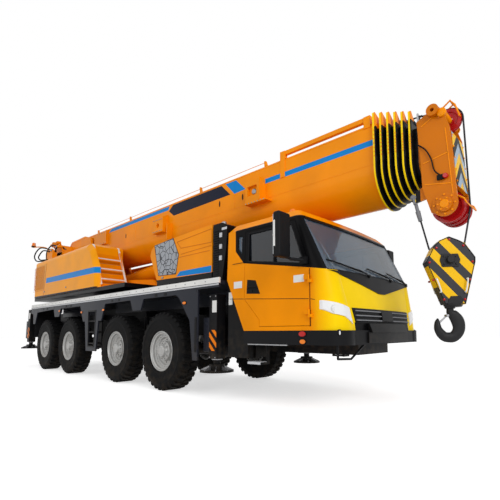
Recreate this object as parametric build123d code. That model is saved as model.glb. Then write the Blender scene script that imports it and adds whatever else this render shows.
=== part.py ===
from build123d import *
import math
import os

os.makedirs("parts", exist_ok=True)

# Sizes are in millimetres. Places are measured from the ground under axle 1: X forward, Y left, Z up.
# Everything is moved at the end, so that the origin lies under the middle of the whole crane.
REAR_END_X = -7945
HEAD_FRONT_X = 4757
ORIGIN_X = (REAR_END_X + HEAD_FRONT_X) / 2
WIDTH = 2750
HALF = WIDTH / 2

# Clearances
SEAT = 0.3
PIN_GAP = 0.06
PAD_GAP = 1.0
MOVE_GAP = 6

# Wheels and axles
TYRE_R = 685
TYRE_HALF = 190
TREAD_HALF = 150
BEAD_R = 352
RIM_IN_R = 305
WHEEL_Y = HALF - 15 - TYRE_HALF
KINGPIN_Y = 1000
SPINDLE_R = 55
HUB_R = 120
EYE_R = 62
KINGPIN_R = 32
AXLES = (("1", 0), ("2", -1700), ("3", -4205), ("4", -5880))
SIDES = (("right", -1), ("left", 1))
AXLE_TUBE_R = 90
AXLE_NECK_R = 58
DIFF_R = 190
SHAFT_R = 40
STRUT_Y = 640
STRUT_R = 52

# Chassis frame
FRAME_HALF = 450
FRAME_LOW = TYRE_R + DIFF_R + 75
FRAME_TOP = 1620
CAB_FRAME_LOW = 700
BRACKET_Z = FRAME_LOW + 400
BRACKET_T = 130

# Outriggers: place, X of the jack, Z of the beam's middle, Z of the foot's underside
OUTRIGGERS = (("front", 1320, 1090, 402), ("rear", -7670, 1180, 530))
BOX_LENGTH = 550
BOX_HALF_Y = 1030
BOX_WALL = 60
BEAM_W = 200
BEAM_H = 300
BEAM_STEP = 110
JACK_W = 180
JACK_Y = BOX_HALF_Y + 50 + JACK_W / 2
JACK_ROD_R = 55
FOOT_R = 262
FOOT_T = 30

# Deck and wings
DECK_TOP = 1800
DECK_T = 60
RAIL_TOP = 1840
SKIN = 30
DECK_REAR_X = -7100
DECK_FRONT_X = 1585

# Engine hood and exhaust tower behind the driver's cab
HOOD_HALF = 1250
HOOD_WALL = 40
HOOD_SIDE = ((-330, 1800), (-340, 1960), (-600, 2480), (-560, 2580), (-430, 2680), (1260, 2745), (1260, 1800))
ENGINE = (-200, 1150, 350, 2350)
TOWER_SIDE = ((1290, 1800), (1290, 2725), (1500, 2725), (1625, 2668), (1600, 2300), (1515, 1840), (1515, 1800))
TOWER_IN = 1000
TOWER_OUT = 1250

# Slewing centre, ring and upper frame
SLEW_X = -4050
RING_R = 700
FLOOR_LOW = 1950
FLOOR_TOP = 2040
FLOOR_REAR_X = -7050
FLOOR_FRONT_X = -1450
FLOOR_HALF = 1320
EAR_IN = 470
EAR_T = 60

# Boom: pivot, tilt at rest, sections, collars and head. U runs along the boom and N across it, from the pivot.
PIVOT_X = -6050
PIVOT_Z = 3350
PIVOT_R = 70
BOOM_TILT = 0
SECTIONS = 6
BASE_HALF = 430
BASE_TOP = 540
BASE_BELLY = -560
STEP_HALF = 30
STEP_N = 32
TUBE_R = 60
WALL = 12
TAIL_U = -450
COLLAR_U = 9755
COLLAR_PITCH = 86
COLLAR_T = 40
COLLAR_OUT = 60
# Pointed ears at both top corners of the collars: N of the first, drop from one to the next, length along Y
EAR_TIP = (632, 18, 120)
HEAD_U = 10260
CHEEK_T = 30
CHEEK = (
    (10272, 384), (10405, 452), (10440, 510), (10540, 510), (10600, 414), (10668, 190), (10718, -790),
    (10675, -868), (10584, -905), (10484, -903), (10405, -860), (10309, -523), (10302, -198),
)
HEAD_FRONT = ((10636, 136), (10676, 136), (10706, -565), (10666, -565))
HEAD_BACK = (366, -364)
TOP_SHEAVE = (10590, 391, 160)
LOW_SHEAVE = (10572, -790, 200)
SHEAVE_W = 56
AXLE_R = 45
JIB_BORE = (10490, 446, 25)
JIB_BOSS = (75, 60, 40)
# Bosses around the lower sheaves' axle: radius and how far each stands out of the cheek
HEAD_BOSSES = ((150, 18), (95, 45))
ANCHOR = ((10420, -430), (10310, -480), (10170, -590), (10150, -650), (10200, -680), (10420, -640))
ANCHOR_T = 36

# Luffing cylinder: foot pin, and the rod's eye in boom places
FOOT_X = -4900
FOOT_Z = 2300
EYE_U = 5150
EYE_N = -720
BARREL_R = 190
ROD_R = 110
LUFF_LUG_IN = 120
LUFF_RANGE = 80

# Hook block
BLOCK_TURN = 35
ROPE_R = 11
# How far along the block its rope fall enters, and the height where it ends inside
FALL_ALONG = 190
FALL_LOW_Z = 1990
BLOCK_X = 4463
BLOCK_Y = -FALL_ALONG * math.sin(math.radians(BLOCK_TURN))
BLOCK_HALF_T = 85
BLOCK_PIN_Z = 1888
BLOCK_LOW_Z = 1340
BLOCK_SIDE = (
    (-184, 2061), (-108, 2136), (3, 2181), (110, 2135), (186, 2093), (300, 1915), (297, 1856), (159, BLOCK_LOW_Z),
    (-80, BLOCK_LOW_Z), (-279, 1871),
)
HOOK_HALF_T = 42

# Driver's cab. Sections: height, rear X, half width, X where the corner starts, X and Y where it ends, nose X
CAB_SECTIONS = (
    (1030, 2020, 1270, 3290, 3556, 860, 3590),
    (1400, 1845, 1275, 3270, 3502, 930, 3540),
    (1790, 1660, 1275, 3230, 3437, 1010, 3480),
    (2520, 1660, 1250, 2960, 3045, 1140, 3085),
    (2640, 1740, 1150, 2850, 2930, 1040, 2970),
)
BUMPER_SECTION = (2020, 1272, 3330, 3590, 900, 3625)
BUMPER_H = 180
BUMPER_REAR_X = CAB_SECTIONS[0][4] - 176
SKIRT_T = 60
CAB_WALL = 55
CAB_FLOOR = 1090
DOOR_REAR_X = 2030
DOOR_FRONT_X = 3185
DOOR_LOW = 1085
DOOR_TOP = 2480
DOOR_GAP = 6
SCREEN_HALF = 1200
SCREEN_LOW = 1775
SCREEN_TOP = 2490

# Operator's cab on the left of the upper frame
OP_SIDE = ((-3300, 2040), (-3300, 3450), (-3150, 3560), (-1900, 3560), (-1560, 2900), (-1500, 2300), (-1600, 2040))
OP_IN = 620
OP_OUT = 1320
OP_WALL = 40


def box(x0, x1, y0, y1, z0, z1):
    """A box between two corners."""
    low, high = Vector(min(x0, x1), min(y0, y1), min(z0, z1)), Vector(max(x0, x1), max(y0, y1), max(z0, z1))
    size = high - low
    return Pos(*low) * Box(size.X, size.Y, size.Z, align=(Align.MIN, Align.MIN, Align.MIN))


def side_plate(points, y0, y1):
    """An outline in X and Z, as thick as from y0 to y1."""
    face = make_face(Polyline(*[(x, z) for x, z in points], close=True))
    solid = extrude(face, abs(y1 - y0))
    return Pos(0, max(y0, y1), 0) * Rot(90, 0, 0) * solid


def pin_y(x, z, radius, y0, y1):
    """A cylinder along Y."""
    return Pos(x, (y0 + y1) / 2, z) * Rot(90, 0, 0) * Cylinder(radius, abs(y1 - y0))


def post(x, y, radius, z0, z1):
    """A cylinder along Z."""
    return Pos(x, y, (z0 + z1) / 2) * Cylinder(radius, abs(z1 - z0))


def mirror_y(solid):
    """The same piece on the other side."""
    return mirror(solid, Plane.XZ)


def sided(solid, side):
    """A piece drawn on the left, on the side that is asked for."""
    return solid if side > 0 else mirror_y(solid)


def save(name, *pieces):
    """Writes one node, moved so that the origin lies under the crane's middle."""
    solids = [Pos(-ORIGIN_X, 0, 0) * solid for piece in pieces for solid in piece.solids()]
    export_step(Compound(solids), f"parts/{name}.step")


# Wheels, knuckles and axles


def make_wheel():
    """Tyre, rim and hub in one, turned about Y, drawn for the left side with Y outboard."""
    outline = [
        Line((0, 178), (0, 115)),
        Line((0, 115), (SPINDLE_R + PIN_GAP, 115)),
        Line((SPINDLE_R + PIN_GAP, 115), (SPINDLE_R + PIN_GAP, -68)),
        Line((SPINDLE_R + PIN_GAP, -68), (HUB_R, -68)),
        Line((HUB_R, -68), (HUB_R, 5)),
        Line((HUB_R, 5), (RIM_IN_R, 20)),
        Line((RIM_IN_R, 20), (RIM_IN_R, -168)),
        Line((RIM_IN_R, -168), (BEAD_R, -168)),
        ThreePointArc((BEAD_R, -168), (500, -TYRE_HALF), (625, -TREAD_HALF - 22)),
        ThreePointArc((625, -TREAD_HALF - 22), (662, -TREAD_HALF - 8), (TYRE_R, -TREAD_HALF + 20)),
        Line((TYRE_R, -TREAD_HALF + 20), (TYRE_R, TREAD_HALF - 20)),
        ThreePointArc((TYRE_R, TREAD_HALF - 20), (662, TREAD_HALF + 8), (625, TREAD_HALF + 22)),
        ThreePointArc((625, TREAD_HALF + 22), (500, TYRE_HALF), (BEAD_R, 168)),
        Line((BEAD_R, 168), (RIM_IN_R, 168)),
        Line((RIM_IN_R, 168), (RIM_IN_R, 50)),
        Line((RIM_IN_R, 50), (170, 68)),
        Line((170, 68), (150, 118)),
        Line((150, 118), (95, 128)),
        Line((95, 128), (70, 172)),
        Line((70, 172), (0, 178)),
    ]
    return revolve(make_face(Wire(outline)), Axis.Y)


def make_knuckle(x):
    """Kingpin, fork plates and spindle, on the left side."""
    pin = post(x, KINGPIN_Y, KINGPIN_R, TYRE_R - 105, TYRE_R + 105)
    back_in, back_out = KINGPIN_Y + EYE_R + 8, WHEEL_Y - 75
    solid = pin + box(x - 62, x + 62, back_in, back_out, TYRE_R - 105, TYRE_R + 105)
    for low, high in ((TYRE_R + 72, TYRE_R + 105), (TYRE_R - 105, TYRE_R - 72)):
        solid += box(x - 62, x + 62, KINGPIN_Y - 60, back_out, low, high)
    return solid + pin_y(x, TYRE_R, SPINDLE_R, back_in, WHEEL_Y + 110)


def make_axle(x):
    """One axle beam with its ends, differential and the struts up to the frame."""
    solid = pin_y(x, TYRE_R, AXLE_TUBE_R, -820, 820) + pin_y(x, TYRE_R, AXLE_NECK_R, -KINGPIN_Y, KINGPIN_Y)
    solid += pin_y(x, TYRE_R, DIFF_R, -150, 150)
    for side in (-1, 1):
        solid += post(x, side * STRUT_Y, STRUT_R, TYRE_R, BRACKET_Z - SEAT)
        solid += post(x, side * KINGPIN_Y, EYE_R, TYRE_R - 70, TYRE_R + 70)
        solid -= post(x, side * KINGPIN_Y, KINGPIN_R + PIN_GAP, TYRE_R - 80, TYRE_R + 80)
    return solid


axles = Pos((AXLES[0][1] + AXLES[-1][1]) / 2, 0, TYRE_R) * Rot(0, 90, 0) * Cylinder(
    SHAFT_R, AXLES[0][1] - AXLES[-1][1]
)
wheel = make_wheel()
for number, axle_x in AXLES:
    axles += make_axle(axle_x)
    for side_name, side in SIDES:
        placed = Pos(axle_x, side * WHEEL_Y, TYRE_R) * sided(wheel, side)
        save(f"wheel_{number}_{side_name}", placed)
        save(f"knuckle_{number}_{side_name}", sided(make_knuckle(axle_x), side))
save("axles", axles)

# Chassis frame and outrigger boxes

boxes = {}
for place, jack_x, beam_z, foot_z in OUTRIGGERS:
    half_h = BEAM_H / 2 + BOX_WALL
    boxes[place] = (jack_x - BOX_LENGTH / 2, jack_x + BOX_LENGTH / 2, beam_z - half_h, beam_z + half_h)


def make_frame():
    """Box frame over the axles, lower under the cab, with strut brackets and the slewing ring."""
    front, rear = boxes["front"], boxes["rear"]
    rear_x = rear[0]
    outline = (
        (rear_x, rear[3] + SEAT), (rear[1] + SEAT, rear[3] + SEAT), (rear[1] + SEAT, FRAME_LOW),
        (front[0] - SEAT, FRAME_LOW), (front[0] - SEAT, front[3] + SEAT), (front[1] + SEAT, front[3] + SEAT),
        (front[1] + SEAT, CAB_FRAME_LOW), (BUMPER_REAR_X - SEAT, CAB_FRAME_LOW),
        (BUMPER_REAR_X - SEAT, CAB_SECTIONS[0][0] - SEAT), (1900, CAB_SECTIONS[0][0] - SEAT), (1640, FRAME_TOP),
        (rear_x, FRAME_TOP),
    )
    solid = side_plate(outline, -FRAME_HALF, FRAME_HALF)
    for _, x in AXLES:
        for y in (-1, 1):
            solid += box(x - 90, x + 90, y * (FRAME_HALF - 10), y * (STRUT_Y + 75), BRACKET_Z, BRACKET_Z + BRACKET_T)
    return solid + post(SLEW_X, 0, RING_R, FRAME_TOP - 1, FLOOR_LOW - SEAT)


save("chassis_frame", make_frame())


def make_outrigger_box(place, jack_x, beam_z):
    """Cross box with a passage for each beam."""
    x0, x1, z0, z1 = boxes[place]
    solid = box(x0, x1, -BOX_HALF_Y, BOX_HALF_Y, z0, z1)
    for side in (-1, 1):
        beam_x = jack_x + side * BEAM_STEP
        solid -= box(
            beam_x - BEAM_W / 2 - 4, beam_x + BEAM_W / 2 + 4, -BOX_HALF_Y - 1, BOX_HALF_Y + 1,
            beam_z - BEAM_H / 2 - SEAT, beam_z + BEAM_H / 2 + MOVE_GAP,
        )
    return solid


save("outrigger_boxes", *[make_outrigger_box(place, x, z) for place, x, z, _ in OUTRIGGERS])

for place, jack_x, beam_z, foot_z in OUTRIGGERS:
    head_low = foot_z + 200
    head_top = head_low + 1000
    for side_name, side in SIDES:
        beam_x = jack_x + side * BEAM_STEP
        beam = box(
            beam_x - BEAM_W / 2, beam_x + BEAM_W / 2, side * (-BOX_HALF_Y + 20), side * JACK_Y,
            beam_z - BEAM_H / 2, beam_z + BEAM_H / 2,
        )
        beam += box(
            jack_x - JACK_W / 2, jack_x + JACK_W / 2, side * (JACK_Y - JACK_W / 2), side * (JACK_Y + JACK_W / 2),
            head_low, head_top,
        )
        beam -= post(jack_x, side * JACK_Y, JACK_ROD_R + PIN_GAP, head_low - 1, head_top - 40)
        save(f"outrigger_beam_{place}_{side_name}", beam)
        jack = post(jack_x, side * JACK_Y, JACK_ROD_R, foot_z + FOOT_T, head_top - 60)
        jack += post(jack_x, side * JACK_Y, FOOT_R, foot_z, foot_z + FOOT_T)
        jack += post(jack_x, side * JACK_Y, 120, foot_z + FOOT_T, foot_z + FOOT_T + 90)
        save(f"outrigger_jack_{place}_{side_name}", jack)

# Decks with their wings over the wheels, drawn on the left

WING = (
    (DECK_REAR_X, DECK_TOP), (DECK_REAR_X, 1600), (-6900, 1560), (-6850, 1270), (-6690, 1270), (-6550, 1600),
    (-5230, 1640), (-5130, 1430), (-4820, 1430), (-4720, 1640), (-3480, 1640), (-3290, 1270), (-3180, 1270),
    (-3060, 600), (-2560, 600), (-2480, 1270), (-2340, 1270), (-2170, 1630), (-1080, 1640), (-980, 1430),
    (-680, 1430), (-580, 1640), (470, 1640), (560, 1590), (870, 1200), (960, 570), (1080, 570), (1080, DECK_TOP),
)
WING_OPENING = ((-3010, 1500), (-2960, 700), (-2660, 700), (-2610, 1500))


def make_deck():
    """Walkway, silver rail, and the wing with its arches."""
    solid = box(DECK_REAR_X, DECK_FRONT_X, FRAME_HALF + SEAT, HALF, DECK_TOP - DECK_T, DECK_TOP)
    solid += box(DECK_REAR_X, DECK_FRONT_X, FRAME_HALF + SEAT, FRAME_HALF + SKIN, FRAME_TOP - 120, DECK_TOP)
    solid += box(DECK_REAR_X, DECK_FRONT_X, HALF - SKIN, HALF, DECK_TOP - 110, RAIL_TOP)
    solid += side_plate(WING, HALF - SKIN, HALF)
    solid -= side_plate(WING_OPENING, HALF - SKIN - 1, HALF + 1)
    return solid - post(SLEW_X, 0, RING_R + 15, FRAME_TOP - 200, DECK_TOP + 100)


deck = make_deck()
save("decks", deck, mirror_y(deck))

# Engine, hood and exhaust tower

engine_x0, engine_x1, engine_half, engine_top = ENGINE
save("engine", box(engine_x0, engine_x1, -engine_half, engine_half, FRAME_TOP, engine_top))


def inset(points, step):
    """An outline in X and Z moved inward."""
    wire = Polyline(*points, close=True)
    inner = offset(make_face(wire), amount=-step, kind=Kind.INTERSECTION)
    return inner


def make_hood():
    """Hollow hood over the engine, open below."""
    solid = side_plate(HOOD_SIDE, -HOOD_HALF, HOOD_HALF)
    inner = extrude(inset(HOOD_SIDE, HOOD_WALL), 2 * (HOOD_HALF - HOOD_WALL))
    inner = Pos(0, HOOD_HALF - HOOD_WALL, 0) * Rot(90, 0, 0) * inner
    solid -= inner
    low_x0, low_x1 = HOOD_SIDE[0][0] + HOOD_WALL, HOOD_SIDE[-1][0] - HOOD_WALL
    return solid - box(
        low_x0, low_x1, -HOOD_HALF + HOOD_WALL, HOOD_HALF - HOOD_WALL, DECK_TOP - 1, DECK_TOP + HOOD_WALL + 1
    )


save("engine_hood", make_hood())

tower = side_plate(TOWER_SIDE, TOWER_IN, TOWER_OUT)
save("exhaust_tower", tower, mirror_y(tower))

# Driver's cab


def cab_section(z, rear_x, half, corner_x, front_x, front_y, nose_x, out):
    """One level outline of the cab, moved outward by out."""
    mid = ((corner_x + 3 * front_x) / 4 + out * 0.7, (3 * half + front_y) / 4 + out * 0.7)
    edges = [
        Line((rear_x - out, half + out), (corner_x, half + out)),
        ThreePointArc((corner_x, half + out), mid, (front_x + out, front_y)),
        ThreePointArc((front_x + out, front_y), (nose_x + out, 0), (front_x + out, -front_y)),
        ThreePointArc((front_x + out, -front_y), (mid[0], -mid[1]), (corner_x, -half - out)),
        Line((corner_x, -half - out), (rear_x - out, -half - out)),
        Line((rear_x - out, -half - out), (rear_x - out, half + out)),
    ]
    return Pos(0, 0, z) * make_face(Wire(edges))


def cab_form(out, low=None, top=None):
    """The cab's outer form, moved outward by out, between two heights."""
    faces = []
    for number, section in enumerate(CAB_SECTIONS):
        z = section[0]
        if number == 0 and low is not None:
            z = low
        if number == len(CAB_SECTIONS) - 1 and top is not None:
            z = top
        faces.append(cab_section(z, *section[1:], out))
    return loft(faces, ruled=True)


DOOR = (
    (DOOR_REAR_X, DOOR_TOP), (DOOR_REAR_X, 1480), (2320, 1180), (2320, DOOR_LOW), (DOOR_FRONT_X, DOOR_LOW),
    (DOOR_FRONT_X, 1850), (2950, DOOR_TOP),
)
DOOR_WINDOW = ((2120, 2420), (2120, 2030), (3090, 1885), (2885, 2420))
REAR_WINDOW = ((1880, 2420), (1880, 2240), (1965, 2150), (1965, 2420))
HINGE_X = DOOR_FRONT_X + DOOR_GAP / 2
HINGE_Y = 1300
HINGE_R = 14
HINGES = (1250, 1680)

cab_outer = cab_form(0)
cab_inner = cab_form(-CAB_WALL, CAB_FLOOR, CAB_SECTIONS[-1][0] - CAB_WALL)
cab_skin = cab_outer - cab_inner
door_cut = side_plate(DOOR, 1000, 1400) + side_plate(DOOR, -1400, -1000)


def make_windscreen_cut(grow):
    """The space of the windscreen, from the belt to the roof."""
    half = SCREEN_HALF + grow
    low, high = SCREEN_LOW - grow, SCREEN_TOP + grow
    return side_plate(((3150, low), (3700, low), (3700, high), (2880, high)), -half, half)


def make_cab_shell():
    """Walls, floor and roof with the openings of the doors and windows."""
    solid = cab_skin - make_windscreen_cut(0) - door_cut
    for y0, y1 in ((1000, 1400), (-1400, -1000)):
        solid -= side_plate(REAR_WINDOW, y0, y1)
    solid -= box(1500, 1800, -700, 700, 1950, 2400)
    for side in (-1, 1):
        for z in HINGES:
            lug = box(HINGE_X + 12, HINGE_X + 40, side * 1240, side * HINGE_Y, z - 60, z - 20)
            lug += post(HINGE_X, side * HINGE_Y, HINGE_R, z - 60, z - 20)
            lug += box(HINGE_X, HINGE_X + 40, side * (HINGE_Y - 12), side * (HINGE_Y + 12), z - 60, z - 20)
            solid += lug
    return solid


save("cab_shell", make_cab_shell())


def make_door(side):
    """Door as thick as the wall, with its window cut and its hinge barrels."""
    grown = make_face(Polyline(*DOOR, close=True))
    small = offset(grown, amount=-DOOR_GAP, kind=Kind.INTERSECTION)
    prism = Pos(0, 1400, 0) * Rot(90, 0, 0) * extrude(small, 400)
    solid = (cab_skin & prism) - side_plate(DOOR_WINDOW, 1000, 1400)
    for z in HINGES:
        solid += post(HINGE_X, HINGE_Y, HINGE_R, z - 20 + SEAT, z + 40)
        solid += box(HINGE_X - 70, DOOR_FRONT_X - DOOR_GAP, 1240, HINGE_Y + 8, z - 20 + SEAT, z + 40)
        solid += box(HINGE_X - 20, HINGE_X, HINGE_Y - 12, HINGE_Y + 8, z - 20 + SEAT, z + 40)
    return sided(solid, side)


for side_name, side in SIDES:
    save(f"door_{side_name}", make_door(side))

GLASS_DEEP = 14
GLASS_T = 12
glass_skin = cab_form(-GLASS_DEEP, 1100, 2600) - cab_form(-GLASS_DEEP - GLASS_T, 1100, 2590)


def make_cab_glass():
    """Windscreen, quarter windows and rear window."""
    panes = [glass_skin & make_windscreen_cut(-SEAT)]
    for y0, y1 in ((1000, 1400), (-1400, -1000)):
        panes.append(glass_skin & side_plate(REAR_WINDOW, y0, y1))
    panes.append(glass_skin & box(1500, 1800, -700, 700, 1950, 2400))
    return panes


save("cab_glass", *make_cab_glass())

# Black and silver pieces on the cab's nose, and what is under it

GRILLE = ((-850, 1312), (850, 1312), (810, 1125), (-810, 1125))
COWL = ((-1190, 1766), (1190, 1766), (90, 1540), (-90, 1540))
HEADLAMP = ((1265, 1392), (1265, 1285), (1195, 1232), (1050, 1200), (892, 1108), (925, 1308))
HOOP = ((-1160, 850), (-1160, 690), (-855, 676), (-500, 850))
HOOP_X = 3500
HOOP_R = 14


def front_plate(points, x0, x1):
    """An outline in Y and Z, as long as from x0 to x1."""
    return extrude(Plane.YZ.offset(x0) * make_face(Polyline(*points, close=True)), x1 - x0)


def make_cab_front():
    """Grille panel, cowl under the windscreen and the bumper with its hoop."""
    raised = cab_form(12) - cab_form(SEAT)
    grille = raised & front_plate(GRILLE, 3300, 3800)
    cowl = raised & front_plate(COWL, 3000, 3800)
    low = CAB_SECTIONS[0][0] - SEAT
    bumper = extrude(cab_section(low, *BUMPER_SECTION, 0), BUMPER_H, dir=(0, 0, -1))
    inner = BUMPER_SECTION[1] - SKIRT_T
    bumper -= box(BUMPER_SECTION[0] - 1, BUMPER_REAR_X, -inner, inner, low - BUMPER_H - 1, low + 1)
    for (y0, z0), (y1, z1) in zip(HOOP, HOOP[1:]):
        start, end = Vector(HOOP_X, y0, z0), Vector(HOOP_X, y1, z1)
        bumper += Plane(origin=(start + end) / 2, z_dir=end - start) * Cylinder(HOOP_R, (end - start).length)
        bumper += Pos(*end) * Sphere(HOOP_R)
    return grille, cowl, bumper


save("cab_front", *make_cab_front())


def make_headlamp():
    """Lamp that wraps the cab's front corner, on the left."""
    raised = cab_form(14) - cab_form(SEAT)
    return raised & front_plate(HEADLAMP, 3290, 3800)


headlamp = make_headlamp()
save("headlamps", headlamp, mirror_y(headlamp))


def make_seat(x, y):
    """Seat with its back, on a plain base."""
    solid = box(x - 250, x + 250, y - 240, y + 240, CAB_FLOOR + 300, CAB_FLOOR + 440)
    solid += box(x - 330, x - 200, y - 230, y + 230, CAB_FLOOR + 300, CAB_FLOOR + 1080)
    return solid + box(x - 150, x + 150, y - 150, y + 150, CAB_FLOOR, CAB_FLOOR + 320)


def make_cab_interior():
    """Two seats, the dashboard and the steering wheel."""
    dash = box(3130, 3290, -1000, 1000, CAB_FLOOR + 250, CAB_FLOOR + 640)
    dash += box(3180, 3260, -200, 200, CAB_FLOOR, CAB_FLOOR + 260)
    wheel_ring = Pos(2960, 620, CAB_FLOOR + 760) * Rot(0, -60, 0) * Torus(210, 16)
    column = Pos(3050, 620, CAB_FLOOR + 700) * Rot(0, 120, 0) * Cylinder(28, 260)
    spokes = Pos(2960, 620, CAB_FLOOR + 760) * Rot(0, -60, 0) * Box(30, 410, 12)
    return [make_seat(2350, 620), make_seat(2350, -620), dash + column + wheel_ring + spokes]


save("cab_interior", *make_cab_interior())


STEP_IN = 1010
STEP_OUT = 1200
STEP_X = (2030, 2280, 2760)
STEP_Z = (560, 830)
STEP_T = 30
SIDE_BOX = ((1610, 1840), (1610, 640), (2030, 640), (2030, 1000), (1690, 1700), (1650, 1760))


def make_cab_steps():
    """Entry steps under each door and the box behind them, hung from the frame."""
    top = CAB_SECTIONS[0][0] - BUMPER_H / 2
    solid = box(STEP_X[0], STEP_X[2], STEP_IN, STEP_OUT, STEP_Z[1], STEP_Z[1] + STEP_T)
    solid += box(STEP_X[0], STEP_X[1], STEP_IN + STEP_T, STEP_OUT, STEP_Z[0], STEP_Z[0] + STEP_T)
    for x, low in ((STEP_X[0], STEP_Z[0]), (STEP_X[1] - STEP_T, STEP_Z[0]), (STEP_X[2] - STEP_T, STEP_Z[1])):
        solid += box(x, x + STEP_T, STEP_IN, STEP_IN + STEP_T + 20, low, top)
    solid += box(STEP_X[0] + 10, STEP_X[1] - 40, FRAME_HALF + SEAT, STEP_IN + STEP_T, STEP_Z[1], STEP_Z[1] + 70)
    return solid + side_plate(SIDE_BOX, STEP_OUT - 30, STEP_OUT) + box(1610, 2031, 800, STEP_OUT, 640, 1000)


steps = make_cab_steps()
save("cab_steps", steps, mirror_y(steps))


MIRROR = (2960, 1535, 2215)
MIRROR_SIZE = (110, 230, 570)
MIRROR_ARM = ((2960, 1535, 1960), (3000, 1400, 1925), (3120, 1290, 1905))
MIRROR_FOOT = (3060, 3165, 1860, 1950)


def make_mirror():
    """Mirror head and its arm on the door, on the left."""
    solid = Pos(*MIRROR) * fillet(Box(*MIRROR_SIZE).edges(), 30)
    for low, high in zip(MIRROR_ARM, MIRROR_ARM[1:]):
        start, end = Vector(*low), Vector(*high)
        solid += Plane(origin=(start + end) / 2, z_dir=end - start) * Cylinder(20, (end - start).length + 20)
    x0, x1, z0, z1 = MIRROR_FOOT
    solid += box(x0, x1, 1200, 1310, z0, z1)
    return solid - cab_form(SEAT)


for side_name, side in SIDES:
    save(f"mirror_{side_name}", sided(make_mirror(), side))

# Upper frame


def to_world(u, n):
    """Place in X and Z of a point given along and across the boom, at rest."""
    a = math.radians(BOOM_TILT)
    return (PIVOT_X + u * math.cos(a) + n * math.sin(a), PIVOT_Z - u * math.sin(a) + n * math.cos(a))


EAR = (
    (FLOOR_REAR_X, FLOOR_TOP - 1), (FLOOR_REAR_X, 2750), (-6880, 3560), (-6530, 3840), (-5550, 3866),
    (-5190, 3770), (-4900, 3150), (-4500, 2620), (-3300, 2330), (-1700, 2200), (-1500, FLOOR_TOP - 1),
)
# Valve block on the right housing, beside the ear
HOUSING_TOP = 3150
VALVE_LOW = HOUSING_TOP + SEAT
VALVE_BLOCK = (
    (-7000, VALVE_LOW), (-7000, 3480), (-6860, 3660), (-6480, 3690), (-6300, 3420), (-6300, VALVE_LOW),
)
VALVE_OUT = 860


def make_upper_frame():
    """Floor, two ears, the boom's pivot pin, the cylinder's foot lugs and the access steps."""
    solid = box(FLOOR_REAR_X, FLOOR_FRONT_X, -FLOOR_HALF, FLOOR_HALF, FLOOR_LOW, FLOOR_TOP)
    for side in (-1, 1):
        solid += side_plate(EAR, side * EAR_IN, side * (EAR_IN + EAR_T))
        lug = box(FOOT_X - 150, FOOT_X + 150, side * 130, side * 180, FLOOR_TOP - 1, FOOT_Z)
        solid += lug + pin_y(FOOT_X, FOOT_Z, 150, side * 130, side * 180)
    solid += pin_y(PIVOT_X, PIVOT_Z, PIVOT_R, -EAR_IN - EAR_T, EAR_IN + EAR_T)
    solid += side_plate(VALVE_BLOCK, -VALVE_OUT, 1 - EAR_IN - EAR_T)
    solid += pin_y(FOOT_X, FOOT_Z, 60, -180, 180)
    solid += side_plate(STAIR, STAIR_OUT + 8, STAIR_IN) + side_plate(STRINGER, STAIR_IN - 1, STAIR_IN + 20)
    for y in (STAIR_OUT + 10, STAIR_IN + 20):
        solid += side_plate(LADDER_RAIL, y, y + LADDER_BAR)
    for z in LADDER_RUNGS:
        x = ladder_x(z)
        solid += box(x - LADDER_BAR, x, STAIR_OUT + 20, STAIR_IN + 40, z - LADDER_BAR, z)
    return solid


# Stair at the front of the right housing, with a ladder leaning on it
STAIR_OUT = -1265
STAIR_IN = -660
STAIR_REAR_X = -3150
STAIR = (
    (STAIR_REAR_X + 8, FLOOR_TOP - 1), (-2740, FLOOR_TOP - 1), (-2740, 2150), (-2870, 2150), (-2870, 2400),
    (-2990, 2400), (-2990, 2650), (-3110, 2650), (-3110, 2900), (STAIR_REAR_X + 8, 2900),
)
STRINGER = (
    (STAIR_REAR_X + 8, FLOOR_TOP - 1), (-2700, FLOOR_TOP - 1), (-2700, 2150), (-3060, 2980), (STAIR_REAR_X + 8, 2980),
)
LADDER_LOW = (-2700, 2110)
LADDER_TOP = (-3130, 3000)
LADDER_BAR = 30
LADDER_RUNGS = (2240, 2500, 2760)
LADDER_RAIL = (
    LADDER_LOW, (LADDER_LOW[0] + LADDER_BAR, LADDER_LOW[1]), (LADDER_TOP[0] + LADDER_BAR, LADDER_TOP[1]), LADDER_TOP,
)


def ladder_x(z):
    """X of the ladder's front at a height."""
    share = (z - LADDER_LOW[1]) / (LADDER_TOP[1] - LADDER_LOW[1])
    return LADDER_LOW[0] + share * (LADDER_TOP[0] - LADDER_LOW[0]) + LADDER_BAR


save("upper_frame", make_upper_frame())

HOUSING_REAR_X = -7030
HOUSING_IN = EAR_IN + EAR_T


def make_housing(profile, outer):
    """Closed housing beside the ears, rounded along its outer edges, on the left."""
    solid = side_plate(profile, HOUSING_IN, outer)
    edges = [edge for edge in solid.edges().group_by(Axis.Y)[-1] if edge.center().Z > FLOOR_TOP + 1]
    return fillet(edges, HOUSING_ROUND)


HOUSING_OUT = 1370
LEFT_HOUSING_OUT = OP_OUT - 15
HOUSING_ROUND = 150
RIGHT_HOUSING = (
    (HOUSING_REAR_X, FLOOR_TOP), (HOUSING_REAR_X, HOUSING_TOP), (-3250, HOUSING_TOP), (-3020, 3000), (-2700, 2500),
    (-2650, FLOOR_TOP),
)
LEFT_HOUSING = ((HOUSING_REAR_X, FLOOR_TOP), (HOUSING_REAR_X, 2900), (-3360, 2900), (-3360, FLOOR_TOP))
right_housing = mirror_y(make_housing(RIGHT_HOUSING, HOUSING_OUT))
right_housing -= box(STAIR_REAR_X, -2600, STAIR_OUT, -HOUSING_IN + 1, FLOOR_TOP - 1, HOUSING_TOP + 1)
left_housing = make_housing(LEFT_HOUSING, LEFT_HOUSING_OUT)
save("side_housings", right_housing, left_housing)

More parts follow.
